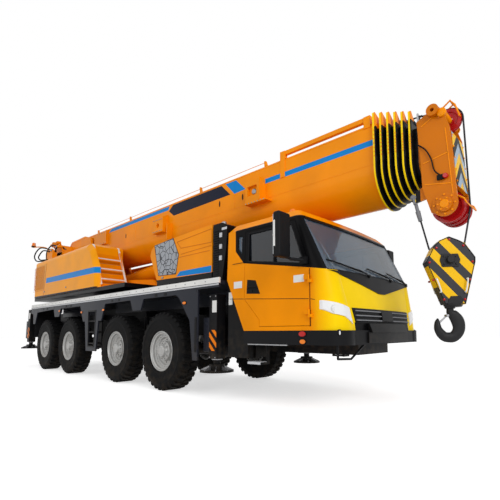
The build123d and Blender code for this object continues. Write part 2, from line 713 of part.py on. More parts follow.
WINCH_X = -6700
WINCH_Z = 2560
winch = pin_y(WINCH_X, WINCH_Z, 230, -390, 390) + pin_y(WINCH_X, WINCH_Z, 80, -EAR_IN, EAR_IN)
for side in (-1, 1):
    winch += pin_y(WINCH_X, WINCH_Z, 320, side * 380, side * 420)
save("winch", winch)


def make_op_cab():
    """Operator's cab: hollow, with a windscreen, roof window, side windows and a door opening."""
    solid = side_plate(OP_SIDE, OP_IN, OP_OUT)
    inner = extrude(inset(OP_SIDE, OP_WALL), OP_OUT - OP_IN - 2 * OP_WALL)
    solid -= Pos(0, OP_OUT - OP_WALL, 0) * Rot(90, 0, 0) * inner
    solid -= box(-3250, -2450, OP_OUT - 60, OP_OUT + 10, 2120, 3420)
    solid -= side_plate(OP_PANE, OP_OUT - 60, OP_OUT + 10)
    solid -= side_plate(OP_PANE, OP_IN - 10, OP_IN + 60)
    solid -= box(-3150, -2500, OP_IN - 10, OP_IN + 60, 2750, 3400)
    return solid - side_plate(OP_SCREEN, OP_IN + 70, OP_OUT - 70)


OP_PANE = ((-2400, 2500), (-2400, 3400), (-1960, 3400), (-1650, 2840), (-1600, 2500))
OP_SCREEN = ((-2100, 3700), (-1990, 3500), (-1680, 2890), (-1610, 2350), (-1400, 2350), (-1400, 2950), (-1750, 3700))
save("operator_cab", make_op_cab())


def make_op_glass():
    """Panes of the operator's cab."""
    left = side_plate(OP_PANE, OP_OUT - 26, OP_OUT - 14)
    right = side_plate(OP_PANE, OP_IN + 14, OP_IN + 26)
    rear_right = box(-3150, -2500, OP_IN + 14, OP_IN + 26, 2750, 3400)
    form = side_plate(OP_SIDE, OP_IN + 70, OP_OUT - 70)
    small = extrude(inset(OP_SIDE, 12), OP_OUT - OP_IN - 100)
    smaller = extrude(inset(OP_SIDE, 26), OP_OUT - OP_IN - 100)
    shell = (Pos(0, OP_OUT - 50, 0) * Rot(90, 0, 0) * small) - (Pos(0, OP_OUT - 50, 0) * Rot(90, 0, 0) * smaller)
    screen = shell & form & side_plate(OP_SCREEN, OP_IN + 70, OP_OUT - 70)
    return left, right, rear_right, screen


save("operator_cab_glass", *make_op_glass())

op_floor = OP_SIDE[0][1] + OP_WALL
op_y = (OP_IN + OP_OUT) / 2
op_seat = box(-2950, -2450, op_y - 230, op_y + 230, op_floor + 320, op_floor + 450)
op_seat += box(-3020, -2900, op_y - 220, op_y + 220, op_floor + 320, op_floor + 1080)
op_seat += box(-2850, -2550, op_y - 150, op_y + 150, op_floor, op_floor + 330)
save("operator_seat", op_seat)

OP_DOOR_Y = OP_OUT + 5
op_door = box(-3270, -2430, OP_DOOR_Y, OP_DOOR_Y + 30, 2100, 3440)
op_door -= box(-3180, -2520, OP_DOOR_Y - 1, OP_DOOR_Y + 31, 2650, 3360)
for z in (2085, 3425):
    op_door += box(-3270, -2430, OP_OUT + SEAT, OP_DOOR_Y + 20, z, z + 30)
save("operator_door", op_door)

# Boom, drawn along X from its pivot, then tilted


def boom_place(solid):
    """Tilts a piece drawn in boom places and moves it to the pivot."""
    return Pos(PIVOT_X, 0, PIVOT_Z) * Rot(0, BOOM_TILT, 0) * solid


def tube_face(half, top, belly, u):
    """Boom section: flat top with round corners, straight sides and a round belly."""
    r = TUBE_R
    cut = r * (1 - math.sqrt(0.5))
    centre = belly + half
    edges = [
        Line((-half, centre), (-half, top - r)),
        ThreePointArc((-half, top - r), (-half + cut, top - cut), (-half + r, top)),
        Line((-half + r, top), (half - r, top)),
        ThreePointArc((half - r, top), (half - cut, top - cut), (half, top - r)),
        Line((half, top - r), (half, centre)),
        ThreePointArc((half, centre), (0, belly), (-half, centre)),
    ]
    return Plane.YZ.offset(u) * make_face(Wire(edges))


def section_size(number, out=0):
    """Half width, top and belly of one section's outside, moved outward by out."""
    half = BASE_HALF - number * STEP_HALF + out
    return half, BASE_TOP - number * STEP_N + out, BASE_BELLY + number * STEP_N - out


def make_collar_ear(number, end):
    """Pointed ear at the collar's top left corner."""
    tip, drop, length = EAR_TIP
    half, top, _ = section_size(number, COLLAR_OUT)
    outline = (
        (half, top - TUBE_R - 40), (half, tip - number * drop), (half - 20, tip - number * drop),
        (half - length, top - 1), (half - length, top - TUBE_R - 40),
    )
    face = make_face(Polyline(*outline, close=True))
    return extrude(Plane.YZ.offset(end - COLLAR_T) * face, COLLAR_T)


def make_section(number, start, end):
    """One box section with its front collar, which guides the next one."""
    solid = extrude(tube_face(*section_size(number), start), end - start)
    solid -= extrude(tube_face(*section_size(number, -WALL), start - 1), end - start + 2)
    if number == SECTIONS:
        return solid
    collar = extrude(tube_face(*section_size(number, COLLAR_OUT), end - COLLAR_T), COLLAR_T)
    ear = make_collar_ear(number, end)
    collar += ear + mirror_y(ear)
    hole = tube_face(*section_size(number + 1, PAD_GAP), end - COLLAR_T - 1)
    return solid + collar - extrude(hole, COLLAR_T + 2)


LUFF_LUG = (
    (EYE_U - 260, BASE_BELLY + 60), (EYE_U + 260, BASE_BELLY + 60), (EYE_U + 90, EYE_N - 90),
    (EYE_U - 90, EYE_N - 90),
)


# Boxes on the boom's right side: U, N, how far they stand out, and the window cut in the outer face
SIDE_BOXES = (
    ((1060, 1820), (110, 470), 55, None),
    ((4310, 4720), (-100, 215), 120, None),
    ((7380, 7700), (-112, 268), 150, ((7430, 7655), (4, 172))),
)
BOX_WINDOW_DEEP = 60
# Plates across: U, thickness, N at the boom's side and at the outer edge, how far they stand out
SIDE_PLATES = (
    (1815, 22, (80, 490), (90, 470), 75),
    (4720, 25, (-125, 290), (-108, 226), 128),
    (4895, 25, (-290, 70), (-320, 30), 128),
    (7700, 25, (-120, 290), (-112, 290), 155),
)
BOX_HOLE = (4520, 60, 55)
SHELF = ((7370, 7870), (-140, -112), 150)
# Guard rail along both top edges: U and N of its ends, width, and its posts
RAIL_U = (8110, 9700)
RAIL_N = (585, 650)
RAIL_W = 60
RAIL_POSTS = ((8065, 8165, 205), (9600, 9700, 480))
# Guides of the sensor cable: U and height of the tip
CABLE_GUIDES = ((1090, 620), (2960, 640), (5880, 645), (7700, 635))
CABLE_Y = 385
CABLE_R = 5
CABLE_N = 612


def yz_plate(points, u, thick):
    """An outline in Y and N, as thick as from u."""
    return extrude(Plane.YZ.offset(u) * make_face(Polyline(*points, close=True)), thick)


def make_boom_fittings():
    """Brackets on the boom's right side, and the rails and cable guides along its top."""
    inner = 1 - BASE_HALF
    side = None
    for (u0, u1), (n0, n1), out, window in SIDE_BOXES:
        solid = box(u0, u1, inner, -BASE_HALF - out, n0, n1)
        if window:
            (w0, w1), (m0, m1) = window
            solid -= box(w0, w1, -BASE_HALF - out - 1, -BASE_HALF - out + BOX_WINDOW_DEEP, m0, m1)
        side = solid if side is None else side + solid
    hole_u, hole_n, hole_r = BOX_HOLE
    side -= pin_y(hole_u, hole_n, hole_r, -BASE_HALF - 200, -BASE_HALF - 60)
    for u, thick, (in0, in1), (out0, out1), out in SIDE_PLATES:
        outline = ((inner, in0), (inner, in1), (-BASE_HALF - out, out1), (-BASE_HALF - out, out0))
        side += yz_plate(outline, u, thick)
    (u0, u1), (n0, n1), out = SHELF
    side += box(u0, u1, inner, -BASE_HALF - out, n0, n1)
    rail = box(RAIL_U[0], RAIL_U[1], BASE_HALF - RAIL_W, BASE_HALF, RAIL_N[0], RAIL_N[1])
    for u0, u1, low in RAIL_POSTS:
        rail += box(u0, u1, BASE_HALF - 1, BASE_HALF + 12, low, RAIL_N[1])
        rail += box(u0, u1, BASE_HALF - RAIL_W, BASE_HALF + 12, BASE_TOP - 12, RAIL_N[1])
    side += rail + mirror_y(rail)
    for u, tip in CABLE_GUIDES:
        outline = ((u - 30, BASE_TOP - 2), (u + 30, BASE_TOP - 2), (u - 5, tip), (u - 40, tip))
        guide = side_plate(outline, -CABLE_Y - 14, -CABLE_Y + 24)
        side += guide
    start, end = CABLE_GUIDES[0][0] - 15, CABLE_GUIDES[-1][0]
    return side + Pos((start + end) / 2, -CABLE_Y, CABLE_N) * Rot(0, 90, 0) * Cylinder(CABLE_R, end - start)


def make_base():
    """Base section with the pivot boss at its tail and the bracket for the luffing cylinder."""
    end = COLLAR_U + COLLAR_T
    solid = make_section(0, TAIL_U, end) + make_boom_fittings()
    corner = ((TAIL_U - 1, 250), (TAIL_U - 1, 700), (-100, 700), (-100, BASE_TOP - 10))
    solid -= side_plate(corner, -BASE_HALF - 10, BASE_HALF + 10)
    boss = pin_y(0, 0, 150, -EAR_IN + MOVE_GAP, EAR_IN - MOVE_GAP)
    solid += boss
    for side in (-1, 1):
        solid += side_plate(LUFF_LUG, side * LUFF_LUG_IN, side * (LUFF_LUG_IN + 40))
    inner = tube_face(*section_size(0, -WALL), 200)
    solid -= extrude(inner, end - COLLAR_T - 200)
    return solid - pin_y(0, 0, PIVOT_R + PIN_GAP, -EAR_IN, EAR_IN)


def make_head_section():
    """Innermost section with the head: cheeks, front plate, sheave axles and the rope's dead end."""
    solid = make_section(SECTIONS, SECTION_START + SECTIONS * 40, HEAD_U + 120)
    half = section_size(SECTIONS)[0]
    for side in (-1, 1):
        solid += side_plate(CHEEK, side * half, side * (half + CHEEK_T))
    outer = half + CHEEK_T
    solid += side_plate(HEAD_FRONT, -half, half)
    solid += box(HEAD_U + 100, HEAD_U + 130, -half, half, HEAD_BACK[1], HEAD_BACK[0])
    solid += side_plate(ANCHOR, -half - 1, -half + ANCHOR_T)
    for u, n, _ in (TOP_SHEAVE, LOW_SHEAVE):
        solid += pin_y(u, n, AXLE_R, -outer - 30, outer + 30)
    boss_r, boss_out, boss_in = JIB_BOSS
    for side in (-1, 1):
        for radius, out in HEAD_BOSSES:
            solid += pin_y(LOW_SHEAVE[0], LOW_SHEAVE[1], radius, side * (outer - 1), side * (outer + out))
        solid += pin_y(JIB_BORE[0], JIB_BORE[1], boss_r, side * (half - boss_in), side * (outer + boss_out))
        solid -= pin_y(*JIB_BORE, side * (half - boss_in - 10), side * (outer + boss_out + 10))
    return solid


SECTION_START = 260
save("boom_base", boom_place(make_base()))
for number in range(1, SECTIONS):
    end = COLLAR_U + COLLAR_T + number * COLLAR_PITCH
    save(f"boom_section_{number}", boom_place(make_section(number, SECTION_START + number * 40, end)))
save(f"boom_section_{SECTIONS}", boom_place(make_head_section()))


def make_sheaves():
    """Rope sheaves at the boom's head, on their axles."""
    solids = []
    for (u, n, radius), places in ((TOP_SHEAVE, (0,)), (LOW_SHEAVE, (-130, 0, 130))):
        for y in places:
            sheave = pin_y(u, n, radius, y - SHEAVE_W / 2, y + SHEAVE_W / 2)
            solids.append(sheave - pin_y(u, n, AXLE_R + PIN_GAP, y - SHEAVE_W, y + SHEAVE_W))
    return solids


save("head_sheaves", *[boom_place(sheave) for sheave in make_sheaves()])

# Luffing cylinder

eye_x, eye_z = to_world(EYE_U, EYE_N)
cylinder_length = math.hypot(eye_x - FOOT_X, eye_z - FOOT_Z)
cylinder_angle = math.degrees(math.atan2(eye_z - FOOT_Z, eye_x - FOOT_X))
BARREL_END = cylinder_length - 430


def cylinder_place(solid):
    """Moves a piece drawn along X from the foot pin to the cylinder's line."""
    return Pos(FOOT_X, 0, FOOT_Z) * Rot(0, -cylinder_angle, 0) * solid


def rod_x(radius, x0, x1):
    """A cylinder along X."""
    return Pos((x0 + x1) / 2, 0, 0) * Rot(0, 90, 0) * Cylinder(radius, x1 - x0)


barrel = rod_x(BARREL_R, 200, BARREL_END) + rod_x(100, 0, 210) + pin_y(0, 0, 120, -120, 120)
barrel -= pin_y(0, 0, 60 + PIN_GAP, -130, 130)
barrel -= rod_x(ROD_R + PIN_GAP, 400, BARREL_END + 1)
save("luff_cylinder_barrel", cylinder_place(barrel))
rod = rod_x(ROD_R, 420, cylinder_length - 60) + pin_y(cylinder_length, 0, ROD_R + 15, -ROD_R, ROD_R)
save("luff_cylinder_rod", cylinder_place(rod))

# Hook block and hook


def rope_fall():
    """Taut rope from the boom's lower sheave down into the block."""
    sheave_x, sheave_z = to_world(LOW_SHEAVE[0], LOW_SHEAVE[1])
    reach = LOW_SHEAVE[2] + ROPE_R + SEAT
    low_x = BLOCK_X + FALL_ALONG * math.cos(math.radians(BLOCK_TURN))
    gap = math.hypot(low_x - sheave_x, FALL_LOW_Z - sheave_z)
    angle = math.atan2(FALL_LOW_Z - sheave_z, low_x - sheave_x) + math.acos(reach / gap)
    top = Vector(sheave_x + reach * math.cos(angle), 0, sheave_z + reach * math.sin(angle))
    low = Vector(low_x, 0, FALL_LOW_Z)
    return Plane(origin=(top + low) / 2, z_dir=top - low) * Cylinder(ROPE_R, (top - low).length)


def block_place(solid):
    """Turns a piece drawn in the block's own plane on its rope."""
    return Pos(BLOCK_X, BLOCK_Y, 0) * Rot(0, 0, BLOCK_TURN) * solid


def make_block():
    """Casing with the block's sheave inside, hung on its rope fall."""
    solid = side_plate(BLOCK_SIDE, -BLOCK_HALF_T, BLOCK_HALF_T)
    solid += pin_y(0, BLOCK_PIN_Z, 45, -BLOCK_HALF_T - 25, BLOCK_HALF_T + 25)
    return block_place(solid) + rope_fall()


save("hook_block", make_block())

HOOK_THROAT = (-45, 1070, 66)

# Hook: arcs in the block's plane, each with its middle and end, from the shank's right foot round to its left
SHANK_R = 45
SHANK_POST_R = 40
SHANK_FOOT = 1260
HOOK_ARCS = (
    ((112, 1215), (160, 1130)), ((128, 957), (-12, 878)), ((-150, 939), (-193, 1051)), ((-184, 1128), (-152, 1172)),
    ((-125, 1150), (-113, 1098)), ((-90, 1024), (-38, 1002)), ((8, 1022), (23, 1069)), ((4, 1150), (-SHANK_R, 1235)),
)


def make_hook():
    """Forged hook on its shank."""
    start = (SHANK_R, SHANK_FOOT)
    edges = []
    for middle, end in HOOK_ARCS:
        edges.append(ThreePointArc(start, middle, end))
        start = end
    edges.append(Line(start, (-SHANK_R, SHANK_FOOT)))
    edges.append(Line((-SHANK_R, SHANK_FOOT), (SHANK_R, SHANK_FOOT)))
    solid = Pos(0, HOOK_HALF_T, 0) * Rot(90, 0, 0) * extrude(make_face(Wire(edges)), 2 * HOOK_HALF_T)
    shank = post(0, 0, SHANK_POST_R, SHANK_FOOT - 30, BLOCK_LOW_Z - SEAT)
    return block_place(solid + shank)


save("hook", make_hook())
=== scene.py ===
import math

import bmesh
import bpy
from mathutils import Matrix, Vector


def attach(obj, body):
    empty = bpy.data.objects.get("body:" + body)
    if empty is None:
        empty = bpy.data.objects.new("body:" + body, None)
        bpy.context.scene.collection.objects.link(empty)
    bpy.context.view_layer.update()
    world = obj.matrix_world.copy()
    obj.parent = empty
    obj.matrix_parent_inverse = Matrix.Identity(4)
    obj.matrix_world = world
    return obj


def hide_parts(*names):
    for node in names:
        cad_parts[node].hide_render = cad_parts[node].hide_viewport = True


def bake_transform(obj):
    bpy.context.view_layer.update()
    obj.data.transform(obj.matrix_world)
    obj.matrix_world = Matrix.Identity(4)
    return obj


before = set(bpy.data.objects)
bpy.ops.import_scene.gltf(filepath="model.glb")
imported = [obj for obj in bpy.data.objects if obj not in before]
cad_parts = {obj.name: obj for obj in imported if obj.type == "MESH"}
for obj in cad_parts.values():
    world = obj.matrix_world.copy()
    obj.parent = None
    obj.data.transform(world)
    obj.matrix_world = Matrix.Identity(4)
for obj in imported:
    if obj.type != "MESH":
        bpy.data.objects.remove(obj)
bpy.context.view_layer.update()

# Places are written in millimetres, from the ground under axle 1: X forward, Y left, Z up.
# MODEL turns them into the frame's metres. BOOM starts at the boom's pin, and BLOCK on the ground
# under the hook block, turned with it. On the boom, U runs along it and N up from the pin.
ORIGIN_X = -1594
MM = 0.001
MODEL = Matrix.Scale(MM, 4) @ Matrix.Translation((-ORIGIN_X, 0, 0))
PIVOT = Vector((-6050, 0, 3350))
BOOM = MODEL @ Matrix.Translation(PIVOT)
BLOCK_PLACE = Vector((4463, -109, 0))
BLOCK_TURN = math.radians(35)
BLOCK = MODEL @ Matrix.Translation(BLOCK_PLACE) @ Matrix.Rotation(BLOCK_TURN, 4, "Z")
UPPER = "upper_structure"
BASE = "boom_base"
HEAD = "boom_section_6"
SIDES = (("right", -1), ("left", 1))

# Colours, as red, green and blue in linear light
ORANGE = (0.90, 0.285, 0.001)
WARM_ORANGE = (0.96, 0.36, 0.001)
# Painted shade: darker orange for the cheeks of the boom's head, which face away from the light
SHADED_HEAD_ORANGE = (0.62, 0.165, 0.001)
DARK_ORANGE = (0.62, 0.17, 0.004)
DULL_ORANGE = (0.78, 0.33, 0.03)
# Yellow of lit orange paint: painted light on the cab's brightly lit front, and painted highlights on the
# boom's collars
LIT_YELLOW = (1.0, 0.68, 0.002)
HAZARD_YELLOW = (0.86, 0.50, 0.01)
AMBER = (0.90, 0.22, 0.005)
RED = (0.42, 0.006, 0.008)
LAMP_RED = (0.5, 0.01, 0.01)
BLUE = (0.001, 0.22, 0.62)
NAVY = (0.003, 0.006, 0.022)
PALE_BLUE = (0.33, 0.42, 0.52)
BLACK = (0.003, 0.003, 0.0035)
TYRE_BLACK = (0.004, 0.004, 0.0043)
SOFT_BLACK = (0.006, 0.006, 0.007)
IRON_BLACK = (0.007, 0.007, 0.008)
HOSE_BLACK = (0.008, 0.008, 0.009)
WING_GREY = (0.016, 0.018, 0.026)
SEAT_GREY = (0.02, 0.021, 0.024)
ROPE_GREY = (0.03, 0.03, 0.033)
DARK_GREY = (0.045, 0.045, 0.05)
GREY = (0.20, 0.205, 0.22)
STEEL = (0.30, 0.30, 0.31)
CELL_GREY = (0.36, 0.38, 0.41)
SILVER = (0.42, 0.42, 0.41)
RAIL_SILVER = (0.52, 0.53, 0.55)
CHROME = (0.55, 0.56, 0.58)
MIRROR = (0.75, 0.78, 0.80)
WHITE = (0.80, 0.80, 0.78)
LENS = (0.86, 0.87, 0.88)
PANE = (0.008, 0.012, 0.018)
SCREEN = (0.10, 0.15, 0.21)
DUST = (0.20, 0.145, 0.09)

# Places and outlines


def turns(count):
    return [2 * math.pi * i / count for i in range(count)]


def around(axis, radius, angle, height=0.0):
    """A place at a radius, an angle and a height on an axis."""
    a, b = radius * math.cos(angle), radius * math.sin(angle)
    return Vector({"x": (height, a, b), "y": (a, height, b), "z": (a, b, height)}[axis])


def ring(count, centre, radius, axis="y"):
    """Places round a centre."""
    return [Vector(centre) + around(axis, radius, turn) for turn in turns(count)]


def oval(x, z, width, height, steps=20):
    return [(x + width / 2 * math.cos(turn), z + height / 2 * math.sin(turn)) for turn in turns(steps)]


def rectangle(x0, x1, z0, z1):
    return ((x0, z0), (x1, z0), (x1, z1), (x0, z1))


def closed(points):
    """Pairs of neighbours round an outline."""
    return list(zip(points, points[1:] + points[:1]))


def band(start, end, width):
    """Outline of a straight line that is as wide as width."""
    (x0, z0), (x1, z1) = start, end
    length = math.hypot(x1 - x0, z1 - z0)
    dx, dz = -(z1 - z0) / length * width / 2, (x1 - x0) / length * width / 2
    return ((x0 - dx, z0 - dz), (x1 - dx, z1 - dz), (x1 + dx, z1 + dz), (x0 + dx, z0 + dz))


def symmetric(half):
    """A profile of radius and height with its mirror image."""
    return half + tuple((radius, -height) for radius, height in reversed(half))


def smooth_line(points, count=6):
    """Points of a round line through the given ones."""
    points = [Vector(point) for point in points]
    ends = [2 * points[0] - points[1]] + points + [2 * points[-1] - points[-2]]
    made = []
    for a, b, c, d in zip(ends, ends[1:], ends[2:], ends[3:]):
        for t in (i / count for i in range(count)):
            made.append(0.5 * (2 * b + (c - a) * t + (2 * a - 5 * b + 4 * c - d) * t ** 2
                               + (3 * b - a - 3 * c + d) * t ** 3))
    return made + [points[-1]]


# Shader nodes


def add(tree, kind, inputs=None, **settings):
    """Adds one shader node and sets or links its inputs."""
    node = tree.nodes.new(kind)
    for key, value in settings.items():
        setattr(node, key, value)
    for key, value in (inputs or {}).items():
        if isinstance(value, bpy.types.NodeSocket):
            tree.links.new(value, node.inputs[key])
        else:
            node.inputs[key].default_value = value
    return node


def combine(tree, operation, first, second):
    return add(tree, "ShaderNodeMath", {0: first, 1: second}, operation=operation).outputs[0]


def vector_math(tree, operation, inputs, output=0):
    return add(tree, "ShaderNodeVectorMath", inputs, operation=operation).outputs[output]


def spread(tree, value, low, high, to_low, to_high):
    """Turns one range of a value into another."""
    return add(tree, "ShaderNodeMapRange", {0: value, 1: low, 2: high, 3: to_low, 4: to_high}).outputs[0]


def noise(tree, place, scale, detail):
    return add(tree, "ShaderNodeTexNoise", {"Vector": place, "Scale": scale, "Detail": detail}).outputs[0]


def mix(tree, factor, first, second):
    return add(tree, "ShaderNodeMix", {0: factor, 6: first, 7: second}, data_type="RGBA").outputs[2]


def rgba(color):
    return (*color, 1.0)


def object_place(tree):
    return add(tree, "ShaderNodeTexCoord").outputs["Object"]


def millimetres(tree, place):
    """The place at rest in the model's millimetres."""
    return vector_math(tree, "MULTIPLY_ADD", {0: place, 1: (1 / MM,) * 3, 2: (ORIGIN_X, 0, 0)})


def part_of(tree, axis, place):
    return add(tree, "ShaderNodeSeparateXYZ", {0: place}).outputs[axis]


def convex(points, across="xz", skin=()):
    """Half planes round a convex outline in X and Z, or in U and N, and in Y by skin."""
    area = sum(a[0] * b[1] - b[0] * a[1] for a, b in closed(points))
    turn = 1 if area > 0 else -1
    planes = [(Vector((0, side, 0)), limit) for side, limit in skin]
    for (u0, v0), (u1, v1) in closed(points):
        nu, nv = -(v1 - v0) * turn, (u1 - u0) * turn
        length = math.hypot(nu, nv)
        normal = Vector((nu / length, 0, nv / length))
        limit = (nu * u0 + nv * v0) / length
        planes.append((normal, limit + (normal.dot(PIVOT) if across == "un" else 0)))
    return planes


def region(tree, place, planes):
    """1 inside all the half planes, 0 elsewhere."""
    inside = None
    for normal, limit in planes:
        dot = vector_math(tree, "DOT_PRODUCT", {0: place, 1: normal}, "Value")
        step = combine(tree, "GREATER_THAN", dot, limit)
        inside = step if inside is None else combine(tree, "MULTIPLY", inside, step)
    return inside


def both_sides(color, points, low, across="xz", high=2000):
    """A painted area on the right and the left side, between two distances from the middle."""
    return [(color, convex(points, across, ((side, low), (-side, -high)))) for side in (-1, 1)]


def new_material(name):
    material = bpy.data.materials.new(name)
    material.use_nodes = True
    return material, material.node_tree, material.node_tree.nodes["Principled BSDF"]


def surface(name, color, rough=0.4, metal=0.0, coat=0.0, shade=0.08, scale=1.5, grain=0.05, grain_scale=60.0,
            dust=0.0, dust_top=1.2, regions=(), spec=0.1, painted_light_fade=None):
    """Painted, cast or moulded surface: uneven colour and gloss, fine grain, dust low down, painted areas,
    and painted light: a fade along X towards a lit colour.
    """
    material, tree, shader = new_material(name)
    place = object_place(tree)
    cloud = noise(tree, place, scale, 4.0)
    base = color
    if regions:
        base = rgba(color)
        model = millimetres(tree, place)
        # Painted light: the colour fades along X towards a lit colour
        if painted_light_fade:
            lit_color, start, end = painted_light_fade
            share = spread(tree, part_of(tree, 0, model), start, end, 0.0, 1.0)
            base = mix(tree, share, base, rgba(lit_color))
        for area_color, planes in regions:
            base = mix(tree, region(tree, model, planes), base, rgba(area_color))
    uneven = spread(tree, cloud, 0.3, 0.7, 1 - shade, 1 + shade)
    bright = vector_math(tree, "SCALE", {0: base, "Scale": uneven})
    if dust > 0:
        low = spread(tree, part_of(tree, 2, place), dust_top, 0.0, 0.0, dust)
        patchy = spread(tree, noise(tree, place, 9.0, 6.0), 0.42, 0.68, 0.0, 1.0)
        bright = mix(tree, combine(tree, "MULTIPLY", low, patchy), bright, rgba(DUST))
    fine = noise(tree, place, grain_scale, 3.0)
    bump = add(tree, "ShaderNodeBump", {"Height": fine, "Strength": grain, "Distance": 0.004})
    gloss = spread(tree, cloud, 0.2, 0.8, max(rough - 0.07, 0.02), rough + 0.09)
    for key, socket in (("Base Color", bright), ("Roughness", gloss), ("Normal", bump.outputs[0])):
        tree.links.new(socket, shader.inputs[key])
    for key, value in (("Metallic", metal), ("Coat Weight", coat), ("Coat Roughness", 0.12),
                       ("Specular IOR Level", 0.5 if metal else spec)):
        shader.inputs[key].default_value = value
    return material


def glossy(name, color, regions=(), grain=0.03):
    return surface(name, color, rough=0.34, coat=0.03, grain=grain, regions=regions)


def stripes(name, colors, direction, pitch, mirrored=False, rope_from=None):
    """Painted stripes across a direction; mirrored ones meet in a point at the middle of the width."""
    material = surface(name, colors[0])
    tree = material.node_tree
    model = millimetres(tree, object_place(tree))
    if mirrored:
        model = vector_math(tree, "ABSOLUTE", {0: model})
    along = vector_math(tree, "DOT_PRODUCT", {0: model, 1: Vector(direction) / pitch}, "Value")
    part = add(tree, "ShaderNodeMath", {0: along}, operation="FRACT").outputs[0]
    base = rgba(colors[0])
    for i, color in enumerate(colors[1:], 1):
        base = mix(tree, combine(tree, "GREATER_THAN", part, i / len(colors)), base, rgba(color))
    if rope_from:
        base = mix(tree, region(tree, model, (rope_from,)), base, rgba(DARK_GREY))
    tree.links.new(base, tree.nodes["Principled BSDF"].inputs["Base Color"])
    return material


def cell_lines(name, color, line_color):
    """Flat paint with a drawn net of uneven cells."""
    material = surface(name, color, grain=0.04)
    tree = material.node_tree
    flat = vector_math(tree, "MULTIPLY", {0: object_place(tree), 1: (1, 0, 1)})
    cells = add(tree, "ShaderNodeTexVoronoi", {"Vector": flat, "Scale": 9.0}, feature="DISTANCE_TO_EDGE")
    line = combine(tree, "LESS_THAN", cells.outputs["Distance"], 0.045)
    base = mix(tree, line, rgba(color), rgba(line_color))
    tree.links.new(base, tree.nodes["Principled BSDF"].inputs["Base Color"])
    return material


def glass(name, tint, rough=0.03, alpha=0.5):
    """Tinted pane that lets part of the light through."""
    material, tree, shader = new_material(name)
    haze = noise(tree, object_place(tree), 2.5, 3.0)
    tree.links.new(spread(tree, haze, 0.3, 0.7, rough, rough + 0.04), shader.inputs["Roughness"])
    for key, value in (("Base Color", rgba(tint)), ("Alpha", alpha), ("Specular IOR Level", 0.8)):
        shader.inputs[key].default_value = value
    return material


# Painted areas, among them painted highlights and painted shade

COLLAR_U = 9755
COLLAR_PITCH = 86
SECTIONS = 6
WINDOW_BAND = ((1815, 2535), (1830, 2210), (2010, 2009), (3340, 1785), (3520, 1768), (3130, 2535))
GRILLE_AREA = convex(rectangle(3300, 3700, 1000, 1128), "xz", ((1, -830), (-1, -830)))
HOOD_BASE = ((-700, 1700), (-700, 1985), (1262, 1962), (1262, 1700))
HOOD_STRIPE = ((287, 1988), (393, 2070), (1250, 2073), (1250, 1966))
HOUSING_STRIPE = ((-5990, 2415), (-5975, 2562), (-2500, 2512), (-2500, 2368))
HOUSING_SILL = ((-7100, 1968), (-7100, 2085), (-2689, 2059), (-2801, 1968))
HOUSING_REAR = ((-7100, 2252), (-6128, 2252), (-5991, 2983), (-7100, 2983))
UPPER_FLOOR = rectangle(-7200, -1300, 1900, 2039)
RAIL_BAND = rectangle(-7200, 1700, 1756, 1850)
MIRROR_BAND = rectangle(2908, 2950, 2060, 2385)
BOOM_AREAS = (
    (BLUE, ((1850, 396), (1997, 481), (4800, 479), (4762, 396))),
    (NAVY, ((4780, 363), (4932, 476), (6572, 475), (6827, 237), (4973, 223))),
    (BLUE, ((6688, 476), (6979, 474), (7233, 239), (6938, 224))),
    (BLUE, ((7232, 290), (7300, 205), (9755, 205), (9755, 290))),
)
boom_areas = [area for color, points in BOOM_AREAS for area in both_sides(color, points, 424, "un", 436)]
# Each collar: a painted highlight along its edge, and painted shadow on the tube between it and the next
# collar
for i in range(SECTIONS):
    collar = COLLAR_U + COLLAR_PITCH * i
    boom_areas.append((LIT_YELLOW, convex(rectangle(collar, collar + 24, -900, 700), "un")))
    boom_areas.append((BLACK, convex(rectangle(collar + 24, collar + 85.5, -900, 430), "un")))
# Painted shade on the cheeks of the boom's head
boom_areas += both_sides(SHADED_HEAD_ORANGE, rectangle(10271, 10850, -1100, 600), 240, "un")
cab_areas = ((BLACK, convex(WINDOW_BAND)), (BLACK, GRILLE_AREA))
mirror_areas = both_sides(WHITE, MIRROR_BAND, 1640)
hood_areas = both_sides(BLUE, HOOD_STRIPE, 1240) + [(SOFT_BLACK, convex(HOOD_BASE))]
housing_areas = both_sides(DULL_ORANGE, HOUSING_REAR, 1200) + both_sides(BLUE, HOUSING_STRIPE, 700)
housing_areas.append((SOFT_BLACK, convex(HOUSING_SILL)))
BLOCK_ACROSS = Vector((math.cos(BLOCK_TURN), math.sin(BLOCK_TURN), 0))
BLOCK_STRIPE_WAY = 0.75 * BLOCK_ACROSS + Vector((0, 0, 0.66))
ROPE_WAY = 0.484 * BLOCK_ACROSS + Vector((0, 0, 0.875))
ROPE_START = 1925 + ROPE_WAY.dot(BLOCK_PLACE)
CASE = {"rough": 0.5, "grain": 0.2, "grain_scale": 160.0, "dust": 0.1}

